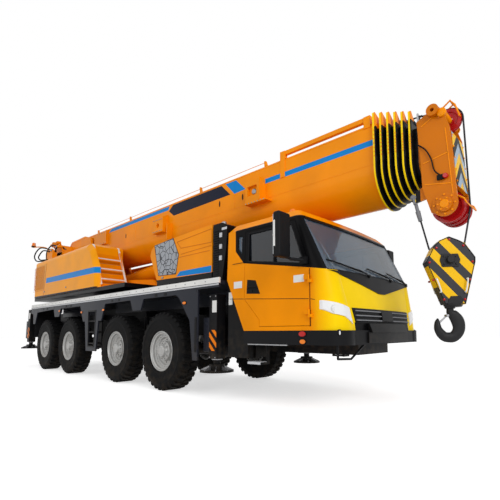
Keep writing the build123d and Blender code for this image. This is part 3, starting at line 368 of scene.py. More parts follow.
# Looks: material, and the record's slot where a piece takes it
LOOKS = {
    "paint": (glossy("body_paint", ORANGE), "body_paint"),
    "boom": (glossy("boom_paint", ORANGE, boom_areas, 0.04), "body_paint"),
    # The cab's paint fades to lit yellow towards its nose: painted light on its brightly lit front
    "cab": (surface("cab_paint", ORANGE, rough=0.36, coat=0.02, spec=0.05, grain=0.03,
                    painted_light_fade=(LIT_YELLOW, 3200, 3480), regions=cab_areas), None),
    "upper": (glossy("upper_paint", ORANGE, ((SOFT_BLACK, convex(UPPER_FLOOR)),)), None),
    "hood": (glossy("hood_paint", ORANGE, hood_areas), None),
    "housing": (glossy("housing_paint", WARM_ORANGE, housing_areas), None),
    "dark_paint": (surface("dark_orange", DARK_ORANGE, rough=0.45), "body_paint"),
    "frame": (surface("frame_paint", SOFT_BLACK, rough=0.5, grain=0.12, dust=0.4), None),
    "wing": (surface("wing_paint", WING_GREY, rough=0.38, coat=0.1, grain=0.06, dust=0.25, dust_top=1.0,
                     regions=both_sides(WHITE, RAIL_BAND, 1343)), "wing_paint"),
    "front": (surface("front_plastic", SOFT_BLACK, rough=0.45, grain=0.15, grain_scale=160.0), None),
    "plastic": (surface("black_plastic", SOFT_BLACK, **CASE), "black_plastic"),
    "mirror_case": (surface("mirror_case", SOFT_BLACK, regions=mirror_areas, **CASE), None),
    "black": (surface("black_paint", BLACK, grain=0.06, dust=0.2), "black_paint"),
    "block": (stripes("block_stripes", (HAZARD_YELLOW, DARK_GREY), BLOCK_STRIPE_WAY, 200,
                      rope_from=(ROPE_WAY, ROPE_START)), None),
    "hazard": (stripes("hazard_stripes", (AMBER, BLACK), (0.707, 0, 0.707), 110), "hazard_paint"),
    "chevron": (stripes("chevron_stripes", (HAZARD_YELLOW, PALE_BLUE, BLACK), (0, 0.75, 0.66), 260,
                        mirrored=True), "hazard_paint"),
    "cells": (cell_lines("cell_panel", CELL_GREY, DARK_GREY), "wing_paint"),
    "steel": (surface("steel", STEEL, rough=0.35, metal=0.9, grain=0.1, scale=4.0), "steel"),
    "chrome": (surface("rod_chrome", CHROME, rough=0.14, metal=1.0, grain=0.02), None),
    "silver": (surface("silver_rail", RAIL_SILVER, rough=0.32, metal=0.4), "steel"),
    "iron": (surface("cast_iron", IRON_BLACK, rough=0.5, grain=0.3, grain_scale=90.0, spec=0.25), "iron"),
    "red": (surface("sheave_red", RED, rough=0.35, coat=0.3, grain=0.06), "sheave"),
    "seat": (surface("seat_cloth", SEAT_GREY, rough=0.9, grain=0.6, grain_scale=260.0), None),
    "tyre": (surface("tyre_rubber", TYRE_BLACK, rough=0.75, grain=0.25, grain_scale=120.0, dust=0.1), "tyre"),
    "rim": (surface("rim_silver", SILVER, rough=0.42, metal=0.35, grain=0.1, dust=0.35), "rim_paint"),
    "rope": (surface("rope_steel", ROPE_GREY, rough=0.6, grain=0.8, grain_scale=300.0), "rope"),
    "rubber": (surface("hose_rubber", HOSE_BLACK, rough=0.6, grain=0.2), "rubber"),
    "white": (surface("white_paint", WHITE), "white_paint"),
    "grey": (surface("grey_paint", GREY, rough=0.45), "wing_paint"),
    "amber": (surface("amber_lens", AMBER, rough=0.15, coat=0.5), "amber_lamp"),
    "red_lamp": (surface("red_lens", LAMP_RED, rough=0.15, coat=0.5), "red_lamp"),
    "mirror": (surface("mirror_face", MIRROR, rough=0.05, metal=1.0, grain=0.0, shade=0.02), "mirror"),
    "pane": (glass("pane", PANE, alpha=0.86), "glass"),
    "screen": (glass("screen_pane", SCREEN), None),
    "lamp": (glass("lamp_glass", LENS, rough=0.08, alpha=0.96), "lamp"),
}

# Looks of the solids' nodes, by how their names start; the first that fits counts
NODE_LOOKS = (
    ("hood", ("engine_hood",)), ("block", ("hook_block",)), ("iron", ("engine", "hook")),
    ("frame", ("chassis_frame", "axles", "outrigger_b", "knuckle")), ("wing", ("decks",)),
    ("black", ("exhaust_tower", "cab_steps", "outrigger_jack")), ("cab", ("cab_shell", "door_")),
    ("screen", ("cab_glass",)), ("front", ("cab_front",)), ("lamp", ("headlamps",)),
    ("seat", ("cab_interior", "operator_seat")), ("mirror_case", ("mirror_",)), ("upper", ("upper_frame",)),
    ("housing", ("side_housings",)), ("steel", ("winch",)), ("pane", ("operator_cab_glass",)),
    ("paint", ("operator_", "luff_cylinder_barrel")), ("chrome", ("luff_cylinder_rod",)),
    ("red", ("head_sheaves",)), ("boom", ("boom",)), ("plastic", ("",)),
)
for name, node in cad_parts.items():
    look = next(look for look, starts in NODE_LOOKS if name.startswith(starts))
    for slot in node.material_slots:
        slot.material = LOOKS[look][0]

# Shapes


class Shape:
    """Collects forms in millimetres, in the model's, the boom's or the block's own place, for one piece."""

    def __init__(self, place=MODEL):
        self.mesh = bmesh.new()
        self.place = place
        self.index = 0

    def face(self, corners):
        self.mesh.faces.new(corners).material_index = self.index

    def loft(self, rows):
        """Closed rings of points joined in turn, with closed ends."""
        made = [[self.mesh.verts.new(point) for point in row] for row in rows]
        for first, second in zip(made, made[1:]):
            for k in range(len(first)):
                self.face((first[k - 1], first[k], second[k], second[k - 1]))
        self.face(made[0])
        self.face(made[-1])
        return self

    def prism(self, outline, low, high):
        """An outline in X and Z from low to high in Y."""
        return self.loft([[(x, y, z) for x, z in outline] for y in (low, high)])

    def lines(self, pairs, width, low, high):
        """Thin straight lines between pairs of points in X and Z."""
        for start, end in pairs:
            self.prism(band(start, end, width), low, high)
        return self

    def box(self, x0, x1, y0, y1, z0, z1):
        return self.prism(rectangle(x0, x1, z0, z1), y0, y1)

    def row(self, count, step, x0, x1, y0, y1, z0, z1):
        """Like boxes, each one step further."""
        for dx, dy, dz in (Vector(step) * i for i in range(count)):
            self.box(x0 + dx, x1 + dx, y0 + dy, y1 + dy, z0 + dz, z1 + dz)
        return self

    def lathe(self, profile, centre=(0, 0, 0), axis="y", steps=32, turn=0.0):
        """A profile of radius and height turned about an axis through a centre."""
        rows = [[self.mesh.verts.new(around(axis, radius, angle + turn, height) + Vector(centre))
                 for angle in turns(steps if radius else 1)] for radius, height in profile]
        for first, second in zip(rows, rows[1:]):
            for i in range(steps):
                j = (i + 1) % steps
                pairs = ((first, i), (first, j), (second, j), (second, i))
                corners = list(dict.fromkeys(row[k % len(row)] for row, k in pairs))
                if len(corners) > 2:
                    self.face(corners)
        return self

    def tube(self, points, radius, steps=8, end_radius=None):
        """A round bar along a line of points, with closed ends."""
        points = [Vector(point) for point in points]
        last = len(points) - 1
        across = (points[1] - points[0]).orthogonal()
        rows = []
        for i, point in enumerate(points):
            along = (points[min(i + 1, last)] - points[max(i - 1, 0)]).normalized()
            across = (across - across.dot(along) * along).normalized()
            other = along.cross(across)
            size = radius if end_radius is None else radius + (end_radius - radius) * i / last
            rows.append([point + size * (across * math.cos(turn) + other * math.sin(turn))
                         for turn in turns(steps)])
        return self.loft(rows)

    def rod(self, start, end, radius, steps=12, end_radius=None):
        return self.tube((start, end), radius, steps, end_radius)

    def bolts(self, places, radius, height, axis="y"):
        """Bolt heads that stand on a surface at their places."""
        for place in places:
            self.lathe(((0, 0), (radius, 0), (radius, height), (0, height)), place, axis, 6)
        return self

    def mirrored(self):
        """Adds the same forms on the other side."""
        parts = self.mesh.verts[:] + self.mesh.edges[:] + self.mesh.faces[:]
        made = bmesh.ops.duplicate(self.mesh, geom=parts)["geom"]
        verts = [part for part in made if isinstance(part, bmesh.types.BMVert)]
        bmesh.ops.transform(self.mesh, matrix=Matrix.Scale(-1, 4, (0, 1, 0)), verts=verts)
        return self

    def make(self, name, looks, body="carrier", bevel=0.0, smooth=35, instead_of=None):
        """Turns what was collected into a piece that rides on a body."""
        bmesh.ops.transform(self.mesh, matrix=self.place, verts=self.mesh.verts)
        bmesh.ops.recalc_face_normals(self.mesh, faces=self.mesh.faces)
        data = bpy.data.meshes.new(name)
        self.mesh.to_mesh(data)
        self.mesh.free()
        data.polygons.foreach_set("use_smooth", [True] * len(data.polygons))
        data.set_sharp_from_angle(angle=math.radians(smooth))
        looks = [LOOKS[look] for look in looks.split()]
        for material, _ in looks:
            data.materials.append(material)
        piece = bpy.data.objects.new(name, data)
        bpy.context.collection.objects.link(piece)
        if bevel:
            edge = piece.modifiers.new("edge", "BEVEL")
            edge.width = bevel * MM
            edge.segments = 2
            edge.limit_method = "ANGLE"
            edge.angle_limit = math.radians(35)
            edge.harden_normals = True
        if body:
            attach(piece, body)
        if instead_of:
            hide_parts(instead_of)
        return piece


# Wheels: tyre and rim in place of each wheel node

TYRE_R = 685
TREAD_FOOT = 655
TREAD_TOP = TYRE_R - 0.5
TREAD_PITCHES = 34
TREAD_TURN = 2 * math.pi / TREAD_PITCHES
WHEEL_Y = 1170
AXLES = (("1", 0), ("2", -1700), ("3", -4205), ("4", -5880))
TYRE_PROFILE = symmetric((
    (348, -150), (352, -167), (378, -179), (384, -183), (392, -181), (440, -187), (500, -189), (556, -187),
    (562, -190), (572, -186), (612, -178), (636, -166), (652, -150), (662, -128), (665, -60),
))
RIM_PROFILE = (
    (351, -168), (343, -173), (334, -168), (328, -150), (306, -140), (300, 20), (306, 140), (318, 146),
    (328, 150), (334, 168), (343, 173), (351, 168), (349, 146), (342, 140), (330, 142),
)
DISC_PROFILE = (
    (308, 110), (300, 96), (292, 92), (250, 92), (240, 84), (228, 58), (214, 50), (178, 50), (172, 58),
    (168, 104), (160, 112), (118, 114), (108, 118), (102, 128), (96, 168), (88, 175),
    (62, 178), (58, 174), (0, 174),
)
# Tread rows: inner and outer edge, outer edge and radius at the foot, and in pitches shift, width and lean
TREAD_ROWS = (
    (14, 152, 171.76, 637, 0.0, 0.56, 0.3), (-14, -152, -171.76, 637, 0.5, 0.56, 0.3),
    (-12, 12, 12, 655, 0.25, 0.22, 0.0),
)
# Rim bolts: count, ring, radius, place and height
RIM_BOLTS = ((24, 271, 9, 92, 11), (10, 139, 14, 113, 26), (6, 76, 7, 176, 5))


def make_tyre(place, name, node):
    """Tyre with block tread and sidewall."""
    shape = Shape(place).lathe(TYRE_PROFILE, steps=72)
    for i in range(TREAD_PITCHES):
        for inner, outer, foot_out, foot_r, shift, wide, lean in TREAD_ROWS:
            start = i + shift
            far = start + lean
            foot = ((TREAD_FOOT, start, inner), (TREAD_FOOT, start + wide, inner),
                    (foot_r, far + wide, foot_out), (foot_r, far, foot_out))
            top = ((TREAD_TOP, start + 0.04, inner), (TREAD_TOP, start + wide - 0.04, inner),
                   (TREAD_TOP, far + wide - 0.05, outer), (TREAD_TOP, far + 0.05, outer))
            shape.loft([[around("y", radius, turn * TREAD_TURN, y) for radius, turn, y in row]
                        for row in (foot, top)])
    shape.make(name, "tyre", node, instead_of=node)


def make_rim(place, name, node):
    """Steel rim with its bolted ring, hub flange and cap."""
    shape = Shape(place).lathe(RIM_PROFILE, steps=64).lathe(DISC_PROFILE, steps=64)
    shape.lathe(((300, 60), (120, 30), (120, -66), (0, -66)))
    for count, radius, size, foot, height in RIM_BOLTS:
        shape.bolts(ring(count, (0, foot, 0), radius), size, height)
    shape.index = 1
    for i in range(10):
        shape.lathe(((0, 2), (12, 2), (12, 0)), around("y", 197, 2 * math.pi * (i + 0.5) / 10, 50), steps=10)
    shape.make(name, "rim black", node)


for number, axle_x in AXLES:
    for side_name, side in SIDES:
        wheel = MODEL @ Matrix.Translation((axle_x, side * WHEEL_Y, TYRE_R))
        end = f"{number}_{side_name}"
        make_tyre(wheel, f"tyre_{end}", f"wheel_{end}")
        make_rim(wheel @ Matrix.Scale(side, 4, (0, 1, 0)), f"rim_{end}", f"wheel_{end}")

# Driver's cab. Sections: height, half width, X where the corner starts, X and Y where it ends, nose X

CAB_SECTIONS = (
    (850, 1272, 3330, 3590, 900, 3625), (1029, 1272, 3330, 3590, 900, 3625),
    (1030, 1270, 3290, 3556, 860, 3590), (1400, 1275, 3270, 3502, 930, 3540),
    (1790, 1275, 3230, 3437, 1010, 3480), (2520, 1250, 2960, 3045, 1140, 3085),
    (2640, 1150, 2850, 2930, 1040, 2970),
)
CAB_SKIN = (-1277, -1272)
CAB_SEAMS = (((1720, 1503), (2022, 1487)), ((3200, 1418), (3262, 1406)), ((3192, 1800), (3192, 1082)))
GRILLE_BARS = (1158, 1218, 1278)
# Grille plates: low, high, half width, back, out and steps
GRILLE_PLATES = ((1150, 1290, 170, 20, 40, 8), (1000, 1120, 560, -10, 46, 16), (870, 1004, 620, -10, 24, 16))
# Wipers: tip and root, each across and up
WIPERS = (((-1150, 1905), (-330, 1802)), ((-236, 1888), (362, 1812)), ((403, 1893), (1032, 1800)))
BEACON = ((0, 0), (62, 0), (62, 30), (52, 36), (50, 105), (38, 122), (0, 126))
ROOF_BEACON = (2643, -900, 2641)


def nose(y, z):
    """X of the cab's outer face at a place across and a height."""
    rows = list(zip(CAB_SECTIONS, CAB_SECTIONS[1:]))
    low, high = next((pair for pair in rows if z <= pair[1][0]), rows[-1])
    share = (z - low[0]) / (high[0] - low[0])
    half, corner_x, front_x, front_y, nose_x = [a + share * (b - a) for a, b in zip(low[1:], high[1:])]
    y = abs(y)
    if y <= front_y:
        sag = nose_x - front_x
        radius = (front_y ** 2 + sag ** 2) / (2 * sag)
        return nose_x - radius + math.sqrt(radius ** 2 - y ** 2)
    share = min((y - front_y) / (half - front_y), 1)
    return front_x - (front_x - corner_x) * (1 - math.sqrt(1 - share ** 2)) * 0.86 - share * 4


def nose_point(y, z, out=0):
    return nose(y, z) + out, y, z


def nose_rows(z0, z1, y0, y1, back, out, steps=24):
    """Rings of a strip that follows the cab's nose between two heights and two places across."""
    return [[nose_point(y, z, reach) for z, reach in ((z0, back), (z1, back), (z1, out), (z0, out))]
            for y in (y0 + (y1 - y0) * i / steps for i in range(steps + 1))]


def make_cab_trim():
    """Seams, grille, blank labels, wipers and the screen's seal."""
    seams = Shape().lines(CAB_SEAMS, 7, *CAB_SKIN).box(1780, 2030, *CAB_SKIN, 2016, 2022)
    corners = ((-4, -3), (4, -3), (4, 2), (-4, 2))
    seams.loft([[(nose(-1010, z) + reach, step - 1010, z) for step, reach in corners]
                for z in range(1050, 1771, 60)])
    seams.mirrored().make("cab_seams", "black", smooth=60)
    bars, slats = Shape(), Shape()
    for z in GRILLE_BARS:
        bars.loft(nose_rows(z - 8, z + 8, -800, 800, 8, 34))
    bars.make("grille_bars", "grey", bevel=4)
    for z in range(1140, 1297, 26):
        slats.loft(nose_rows(z - 4, z + 4, -790, 790, 8, 18))
    for low, high, half, back, out, steps in GRILLE_PLATES:
        slats.loft(nose_rows(low, high, -half, half, back, out, steps))
    slats.make("grille_slats", "black", bevel=8)
    labels = Shape().box(1812, 1984, -1278, -1272, 1650, 1750).box(1618, 1700, -1203, -1198, 1423, 1614)
    labels.mirrored().make("cab_labels", "white", bevel=1)
    wipers = Shape()
    for tip, root in WIPERS:
        tip, root = Vector(tip), Vector(root)
        foot, middle = Vector((root.x + 30, 1772)), (tip + root) / 2
        elbow = (foot + middle) / 2 + Vector((0, 14))
        wipers.lathe(((0, -6), (24, -6), (24, 24), (0, 24)), nose_point(*foot, 8), "x", 16)
        wipers.tube((nose_point(*foot, 30), nose_point(*elbow, 34), nose_point(*middle, 20)), 9)
        for half, out in ((9, 12), (3, 2)):
            wipers.loft([[(nose(y, z) + out + reach, y, z + step)
                          for reach, step in ((-8, -half), (4, -half), (4, half), (-8, half))]
                         for y, z in (tip.lerp(root, i / 12) for i in range(13))])
    wipers.make("wipers", "plastic", smooth=60)
    seal = Shape().loft(nose_rows(1768, 1786, -1195, 1195, -6, 7))
    seal.loft(nose_rows(2482, 2498, -1120, 1120, -8, 3)).make("screen_seal", "rubber", smooth=60)


def make_cab_lamps():
    """Lamps on the cab's front and skirt, and the beacons on its roof."""
    fog = nose_point(-1150, 1000)
    lenses = Shape().lathe(((0, 14), (18, 13), (30, 8), (33, 0), (33, -30)), fog, "x", 24)
    lenses.mirrored().make("fog_lamps", "lamp")
    rims = Shape().lathe(((33, -20), (33, 6), (38, 9), (42, 4), (42, -20)), fog, "x", 24)
    rims.mirrored().make("fog_rims", "plastic")
    bulbs = Shape()
    for y, z, radius in ((-1160, 1290, 52), (-1010, 1262, 44)):
        profile = ((0, 6), (radius - 14, 8), (radius, 16), (radius + 5, 12), (radius + 5, -6))
        bulbs.lathe(profile, nose_point(y, z, 12), "x", 28)
    bulbs.mirrored().make("headlamp_bulbs", "lamp")
    red = Shape().prism(oval(3068, 987, 105, 66), -1290, -1270)
    red.mirrored().make("skirt_lamps_red", "red_lamp", bevel=5)
    amber = Shape().prism(oval(3072, 892, 84, 56), -1288, -1270).lathe(BEACON, ROOF_BEACON, "z", 28)
    amber.mirrored().make("amber_lamps", "amber", bevel=3)
    bezels = Shape().lathe(((0, -40), (70, -40), (76, 6), (64, 10), (0, 10)), ROOF_BEACON, "z", 28)
    for outline in (oval(3068, 987, 116, 76), oval(3072, 892, 94, 64)):
        bezels.lines(closed(outline), 9, -1280, -1270)
    bezels.mirrored().make("lamp_bezels", "plastic")


HANDLE_DISH = ((2092, 1759), (2258, 1735), (2344, 1539), (2080, 1558))
HANDLE = ((2110, 1276, 1640), (2118, 1302, 1650), (2290, 1302, 1640), (2300, 1276, 1630))
DOOR_PANE = ((2108, 2432), (2108, 2020), (3104, 1874), (2892, 2432))
DOOR_SEAM = (((2040, 1486), (3171, 1421)),)


def door_face(z):
    return 1275 - max(z - 1790, 0) * 0.034


def make_door(name, side):
    """Pane, seal, handle, seams and mirror glass of a door."""
    body = f"door_{name}"
    skin = (side * 1272, side * 1277)
    Shape().prism(DOOR_PANE, side * 1228, side * 1238).make(f"pane_{name}", "pane", body)
    seal = Shape().box(2580, 2600, side * 1225, side * 1266, 1960, 2425)
    for (x0, z0), (x1, z1) in closed(DOOR_PANE):
        seal.rod((x0, side * door_face(z0), z0), (x1, side * door_face(z1), z1), 9, 8)
    seal.make(f"seal_{name}", "rubber", body)
    Shape().prism(HANDLE_DISH, *skin).lines(DOOR_SEAM, 7, *skin).make(f"door_seam_{name}", "black", body)
    handle = Shape().tube([(x, side * y, z) for x, y, z in HANDLE], 10, 10)
    handle.prism(oval(2180, 1590, 36, 36), side * 1272, side * 1284)
    handle.make(f"handle_{name}", "plastic", body, smooth=60)
    Shape().box(2935, 3105, *skin, 1640, 1735).make(f"door_label_{name}", "white", body, bevel=2)
    mirror = Shape().box(2901, 2906, side * 1438, side * 1632, 1965, 2190)
    mirror.box(2901, 2906, side * 1438, side * 1632, 2215, 2470).make(f"mirror_glass_{name}", "mirror", body)
    Shape().box(2906, 2911, side * 1425, side * 1645, 2196, 2209).make(f"mirror_strip_{name}", "white", body)


make_cab_trim()
make_cab_lamps()
for side_name, side in SIDES:
    make_door(side_name, side)

# Steps, deck, rear, hood and exhaust tower

MARKERS = ((-3383, 1490), (-2242, 1500), (724, 1492), (-4806, 1577))
STEP_FRAME = ((-3010, 1500), (-2960, 700), (-2660, 700), (-2610, 1500))
WING_SEAMS = (1040, -1680, -4205, -5180, -6200)
WING_CLIPS = (-150, 150, -1850, -1550, -4355, -4055, -6030, -5730)
HOOD_SKIN = (-1254, -1249)
CELLS = ((-445, 2655), (169, 2699), (346, 2372), (273, 2037), (-282, 2060))
# Outline of a shallow recess in the hood's sides, drawn as lines of painted shade
HOOD_RECESS = ((290, 2609), (1245, 2673), (1249, 2452), (411, 2480))
HOOD_LINES = (((415, 2372), (1250, 2400)), ((359, 2323), (1204, 2323)))


def make_steps():
    """Silver treads of the cab's entry, and the step frame between axles 2 and 3."""
    treads, steps = Shape(), Shape()
    for x0, x1, z in ((2030, 2760, 862), (2030, 2280, 592)):
        treads.row(6, (0, 32, 0), x0 + 6, x1 - 6, -1196, -1182, z - 2, z + 6)
        treads.box(x0, x1, -1204, -1198, z - 30, z + 2)
    treads.mirrored().make("entry_treads", "silver", bevel=2)
    for z in (760, 1010, 1260):
        lean = 50 * (z - 700) / 800
        x0, x1 = -2960 - lean, -2660 + lean
        steps.box(x0, x1, -1372, -1190, z, z + 22)
        steps.row(8, ((x1 - x0 - 55) / 7, 0, 0), x0 + 20, x0 + 35, -1365, -1195, z + 20, z + 30)
    steps.box(-2980, -2640, -1215, -1190, 720, 1560).lines(closed(STEP_FRAME), 34, -1380, -1368)
    steps.mirrored().make("deck_steps", "black", bevel=3)


def make_deck_trim():
    """Silver strip, marker lamps, seams and non-slip ribs of the deck."""
    strip = Shape().box(-7098, 1583, -1380, -1373, 1722, 1746)
    strip.row(10, (900, 0, 0), -6900, -6850, -1382, -1376, 1728, 1740)
    strip.mirrored().make("rail_strip", "silver", bevel=2)
    lamps, trim = Shape(), Shape()
    for x, z in MARKERS:
        lamps.prism(oval(x, z, 96, 46), -1388, -1374)
        trim.lines(closed(oval(x, z, 108, 58)), 10, -1380, -1373)
    lamps.mirrored().make("marker_lamps", "amber", bevel=4)
    for x in WING_SEAMS:
        trim.box(x - 3, x + 3, -1377, -1374, 1650, 1720)
    for x in WING_CLIPS:
        trim.box(x - 40, x + 40, -1379, -1374, 1652, 1700)
    trim.box(1010, 1060, -1382, -1374, 700, 1250).mirrored().make("wing_trim", "plastic", bevel=2)
    Shape().row(170, (50, 0, 0), -7060, -7044, -1338, -900, 1799, 1804).mirrored().make("deck_ribs", "black")
    places = [(-6950 + 265 * i, -1375, 1797) for i in range(32)]
    Shape().bolts(places, 9, -6).mirrored().make("rail_bolts", "steel")


def make_rear():
    """Rear lamps, blank plates and tow hook behind the deck."""
    Shape().box(-7105, -7092, -1290, -1130, 1640, 1740).mirrored().make("rear_lamps", "red_lamp", bevel=8)
    Shape().box(-7105, -7092, -1120, -1030, 1640, 1740).mirrored().make("rear_winkers", "amber", bevel=8)
    hitch = Shape().box(-7400, -7390, -260, 260, 1380, 1500)
    hitch.lathe(((30, -60), (52, -60), (52, 60), (30, 60), (30, -60)), (-7890, 0, 1455), "z", 24)
    hitch.make("rear_hitch", "iron", bevel=3)
    Shape().box(-7109, -7100, -900, -500, 1630, 1745).mirrored().make("rear_plates", "white", bevel=2)


def make_hood_trim():
    """Cell panels, painted shade lines round a shallow recess and seams on the hood's sides, and louvres on
    its top.
    """
    Shape().prism(CELLS, *HOOD_SKIN).mirrored().make("cell_panels", "cells", bevel=1)
    # Dark orange lines: painted shade round the shallow recess, and two seams
    seams = Shape().lines(closed(HOOD_RECESS), 11, *HOOD_SKIN).lines(HOOD_LINES, 9, *HOOD_SKIN)
    seams.mirrored().make("hood_seams_and_recess_shade", "dark_paint", bevel=1)
    lines = Shape().lines(closed(CELLS), 7, -1256, -1249).mirrored()
    for x in range(240, 1121, 80):
        z = 2680 + (x + 430) * 65 / 1690
        lines.prism(((x, z - 2), (x + 46, z + 1), (x + 30, z + 22), (x + 18, z + 22)), -820, 820)
    lines.make("hood_lines", "black", bevel=1)
    latches = Shape().prism(oval(-150, 2013, 70, 40), -1262, -1249).bolts(((-150, -1262, 2013),), 10, -6)
    latches.mirrored().make("hood_latches", "steel", bevel=3)


def make_tower():
    """Rungs, louvres and pipe of the exhaust tower."""
    rungs = Shape().box(1500, 1618, -1256, -1252, 2600, 2640)
    for z in (2526, 2343, 2162):
        rungs.box(1455, 1510, -1266, -1248, z - 36, z + 36)
    rungs.mirrored().make("tower_rungs", "silver", bevel=3)
    louvres = Shape()
    for z in range(1880, 2603, 38):
        louvres.prism(((1310, z), (1425, z), (1425, z + 8), (1310, z + 24)), -1262, -1249)
    louvres.mirrored().make("tower_louvres", "plastic")
    pipe = Shape().tube(((1400, -1120, 2720), (1400, -1120, 2745), (1390, -1120, 2765)), 48, 24)
    pipe.make("exhaust_pipe", "steel", smooth=60)


make_steps()
make_deck_trim()
make_rear()
make_hood_trim()
make_tower()

# Upper structure: housings, ladder, valves, winch and operator's cab

HOUSING_OUT = -1370
HOUSING_SKIN = (HOUSING_OUT - 2, HOUSING_OUT + 2)
HOUSING_SEAMS = (((-5991, 2990), (-6140, 2050)), ((-7028, 2232), (-6110, 2232)))
RIGHT_LATCHES = ((-6072, 2176), (-4465, 2177))
LEFT_LATCHES = ((-4200, 2500), (-5600, 2500), (-6500, 2450))
LEFT_SEAMS = [((x, 2060), (x, 2880)) for x in (-4300, -5300, -6200)]
LADDER_TOP = (-3150, 3035)
LADDER_FOOT = (-2690, 2130)
LADDER_SIDES = (-1250, -640)
LADDER_RUNGS = (2250, 2505, 2765)
# Tubes stand 15 mm ahead of the ladder's bars; hand rail: steps from the ladder's top
LADDER_AHEAD = 15
HAND_RAIL = ((LADDER_AHEAD, 0), (-10, 60), (-70, 85), (-130, 60), (-140, 105))
# Stair treads: X from and to, height
STAIRS = ((-2860, -2744, 2150), (-2984, -2874, 2400), (-3104, -2994, 2650))
HOSES = (
    ((-6560, -1100, 3500), (-6700, -1180, 3560), (-7150, -1220, 3640), (-7500, -1230, 3560),
     (-7640, -1230, 3420), (-7450, -1220, 3270), (-7080, -1180, 3220), (-6650, -1120, 3200)),
    ((-6600, -1040, 3440), (-6760, -1120, 3500), (-7120, -1150, 3560), (-7400, -1160, 3470),
     (-7480, -1160, 3380), (-7300, -1150, 3290), (-7000, -1120, 3260), (-6700, -1060, 3240)),
    ((-6500, -960, 3640), (-6700, -1000, 3700), (-6950, -1020, 3680), (-7200, -1020, 3540),
     (-7260, -1000, 3330)),
    ((-6400, -760, 3560), (-6380, -900, 3640), (-6420, -1010, 3560), (-6440, -1000, 3380),
     (-6460, -950, 3152)),
    ((-6850, -780, 3650), (-6960, -820, 3700), (-7080, -830, 3560), (-7085, -820, 3300),
     (-7040, -800, 3100)),
)
WINCH_HOSES = (
    ((-7052, -700, 2700), (-7120, -760, 2500), (-7140, -780, 2250), (-7090, -800, 2042)),
    ((-7052, 300, 2700), (-7110, 340, 2500), (-7120, 380, 2250), (-7090, 400, 2042)),
)
VALVE_OUT = 860
VALVES = range(-6930, -6409, 130)
# Pipes of the rack: X, foot and head height
RACK_PIPES = (
    (-6950, 3560, 3760), (-6800, 3600, 3800), (-6650, 3620, 3740), (-6480, 3600, 3780), (-6350, 3480, 3640),
)
FITTING_PROFILE = ((0, -3), (44, -3), (44, 22), (30, 28), (30, 60), (0, 62))
SPOOL_PROFILE = ((0, 2), (34, 2), (34, -52), (20, -60), (0, -60))
BEACON_ARM = ((-6890, -1020, 3500), (-7000, -1100, 3640), (-7250, -1220, 3690), (-7526, -1300, 3710))
REAR_BEACON = (-7526, -1300, 3740)
RING_R = 700
RING_PLACE = (-4050, 0, 1950)
EAR_WELDS = (
    ((-6880, 3500), (-6500, 3790)), ((-6500, 3790), (-5560, 3812)), ((-5560, 3812), (-5240, 3730)),
    ((-6760, 3250), (-5400, 3250)),
)
EAR_OUT = 530
WINCH = Vector((-6700, 0, 2560))
DRUM_END = 378
CAB_WINDOW = ((-2400, 2500), (-2400, 3400), (-1960, 3400), (-1650, 2840), (-1600, 2500))
GUARD_Z = 3580


def make_housing_trim():
    """Seams, latches and grilles of the side housings."""
    seams = Shape().lines(HOUSING_SEAMS, 9, HOUSING_OUT - 4, HOUSING_OUT + 2)
    seams.row(24, (36, 0, 0), -6990, -6985, *HOUSING_SKIN, 2262, 2950)
    seams.row(18, (0, 0, 38), -6992, -6150, *HOUSING_SKIN, 2290, 2295)
    seams.make("housing_seams", "dark_paint", UPPER)
    latches = Shape()
    for x, z in RIGHT_LATCHES:
        latches.prism(oval(x, z, 66, 44), HOUSING_OUT - 10, HOUSING_OUT + 2)
        latches.box(x - 8, x + 8, HOUSING_OUT - 18, HOUSING_OUT - 8, z - 16, z + 16)
    for x, z in LEFT_LATCHES:
        latches.prism(oval(x, z, 60, 40), 1304, 1314)
    latches.make("housing_latches", "steel", UPPER, bevel=2)
    left = Shape().lines(LEFT_SEAMS, 9, 1303, 1309).row(14, (0, 0, 36), -6150, -5350, 1304, 1316, 2300, 2308)
    left.make("housing_louvres", "black", UPPER)
    top = Shape().row(9, (190, 0, 0), -5700, -5570, -1180, -760, 3149, 3158)
    top.row(20, (0, 21, 0), -5690, -4050, -1170, -1164, 3156, 3162)
    top.make("housing_top_grille", "black", UPPER, bevel=2)
    Shape().row(24, (150, 0, 0), -6950, -6880, 620, 1200, 2899, 2904).make("housing_walk", "black", UPPER)


def make_ladder():
    """White tubes over the ladder's bars, and the stair's treads."""
    (foot_x, foot_z), (top_x, top_z) = LADDER_FOOT, LADDER_TOP
    rails, treads = Shape(), Shape()
    for y in LADDER_SIDES:
        rails.rod((foot_x + LADDER_AHEAD, y, foot_z - 20), (top_x + LADDER_AHEAD, y, top_z), 24, 16)
        rails.tube([(top_x + dx, y, top_z + dz) for dx, dz in HAND_RAIL], 20, 12)
    for z in LADDER_RUNGS:
        x = foot_x + (z - foot_z) / (top_z - foot_z) * (top_x - foot_x) + LADDER_AHEAD
        rails.rod((x, LADDER_SIDES[0], z), (x, LADDER_SIDES[1], z), 19, 14)
    rails.make("ladder_tubes", "white", UPPER, smooth=60)
    for x0, x1, z in STAIRS:
        treads.row(5, ((x1 - x0 - 12) / 4, 0, 0), x0, x0 + 10, -1250, -668, z - 1, z + 6)
    treads.make("stair_treads", "steel", UPPER)


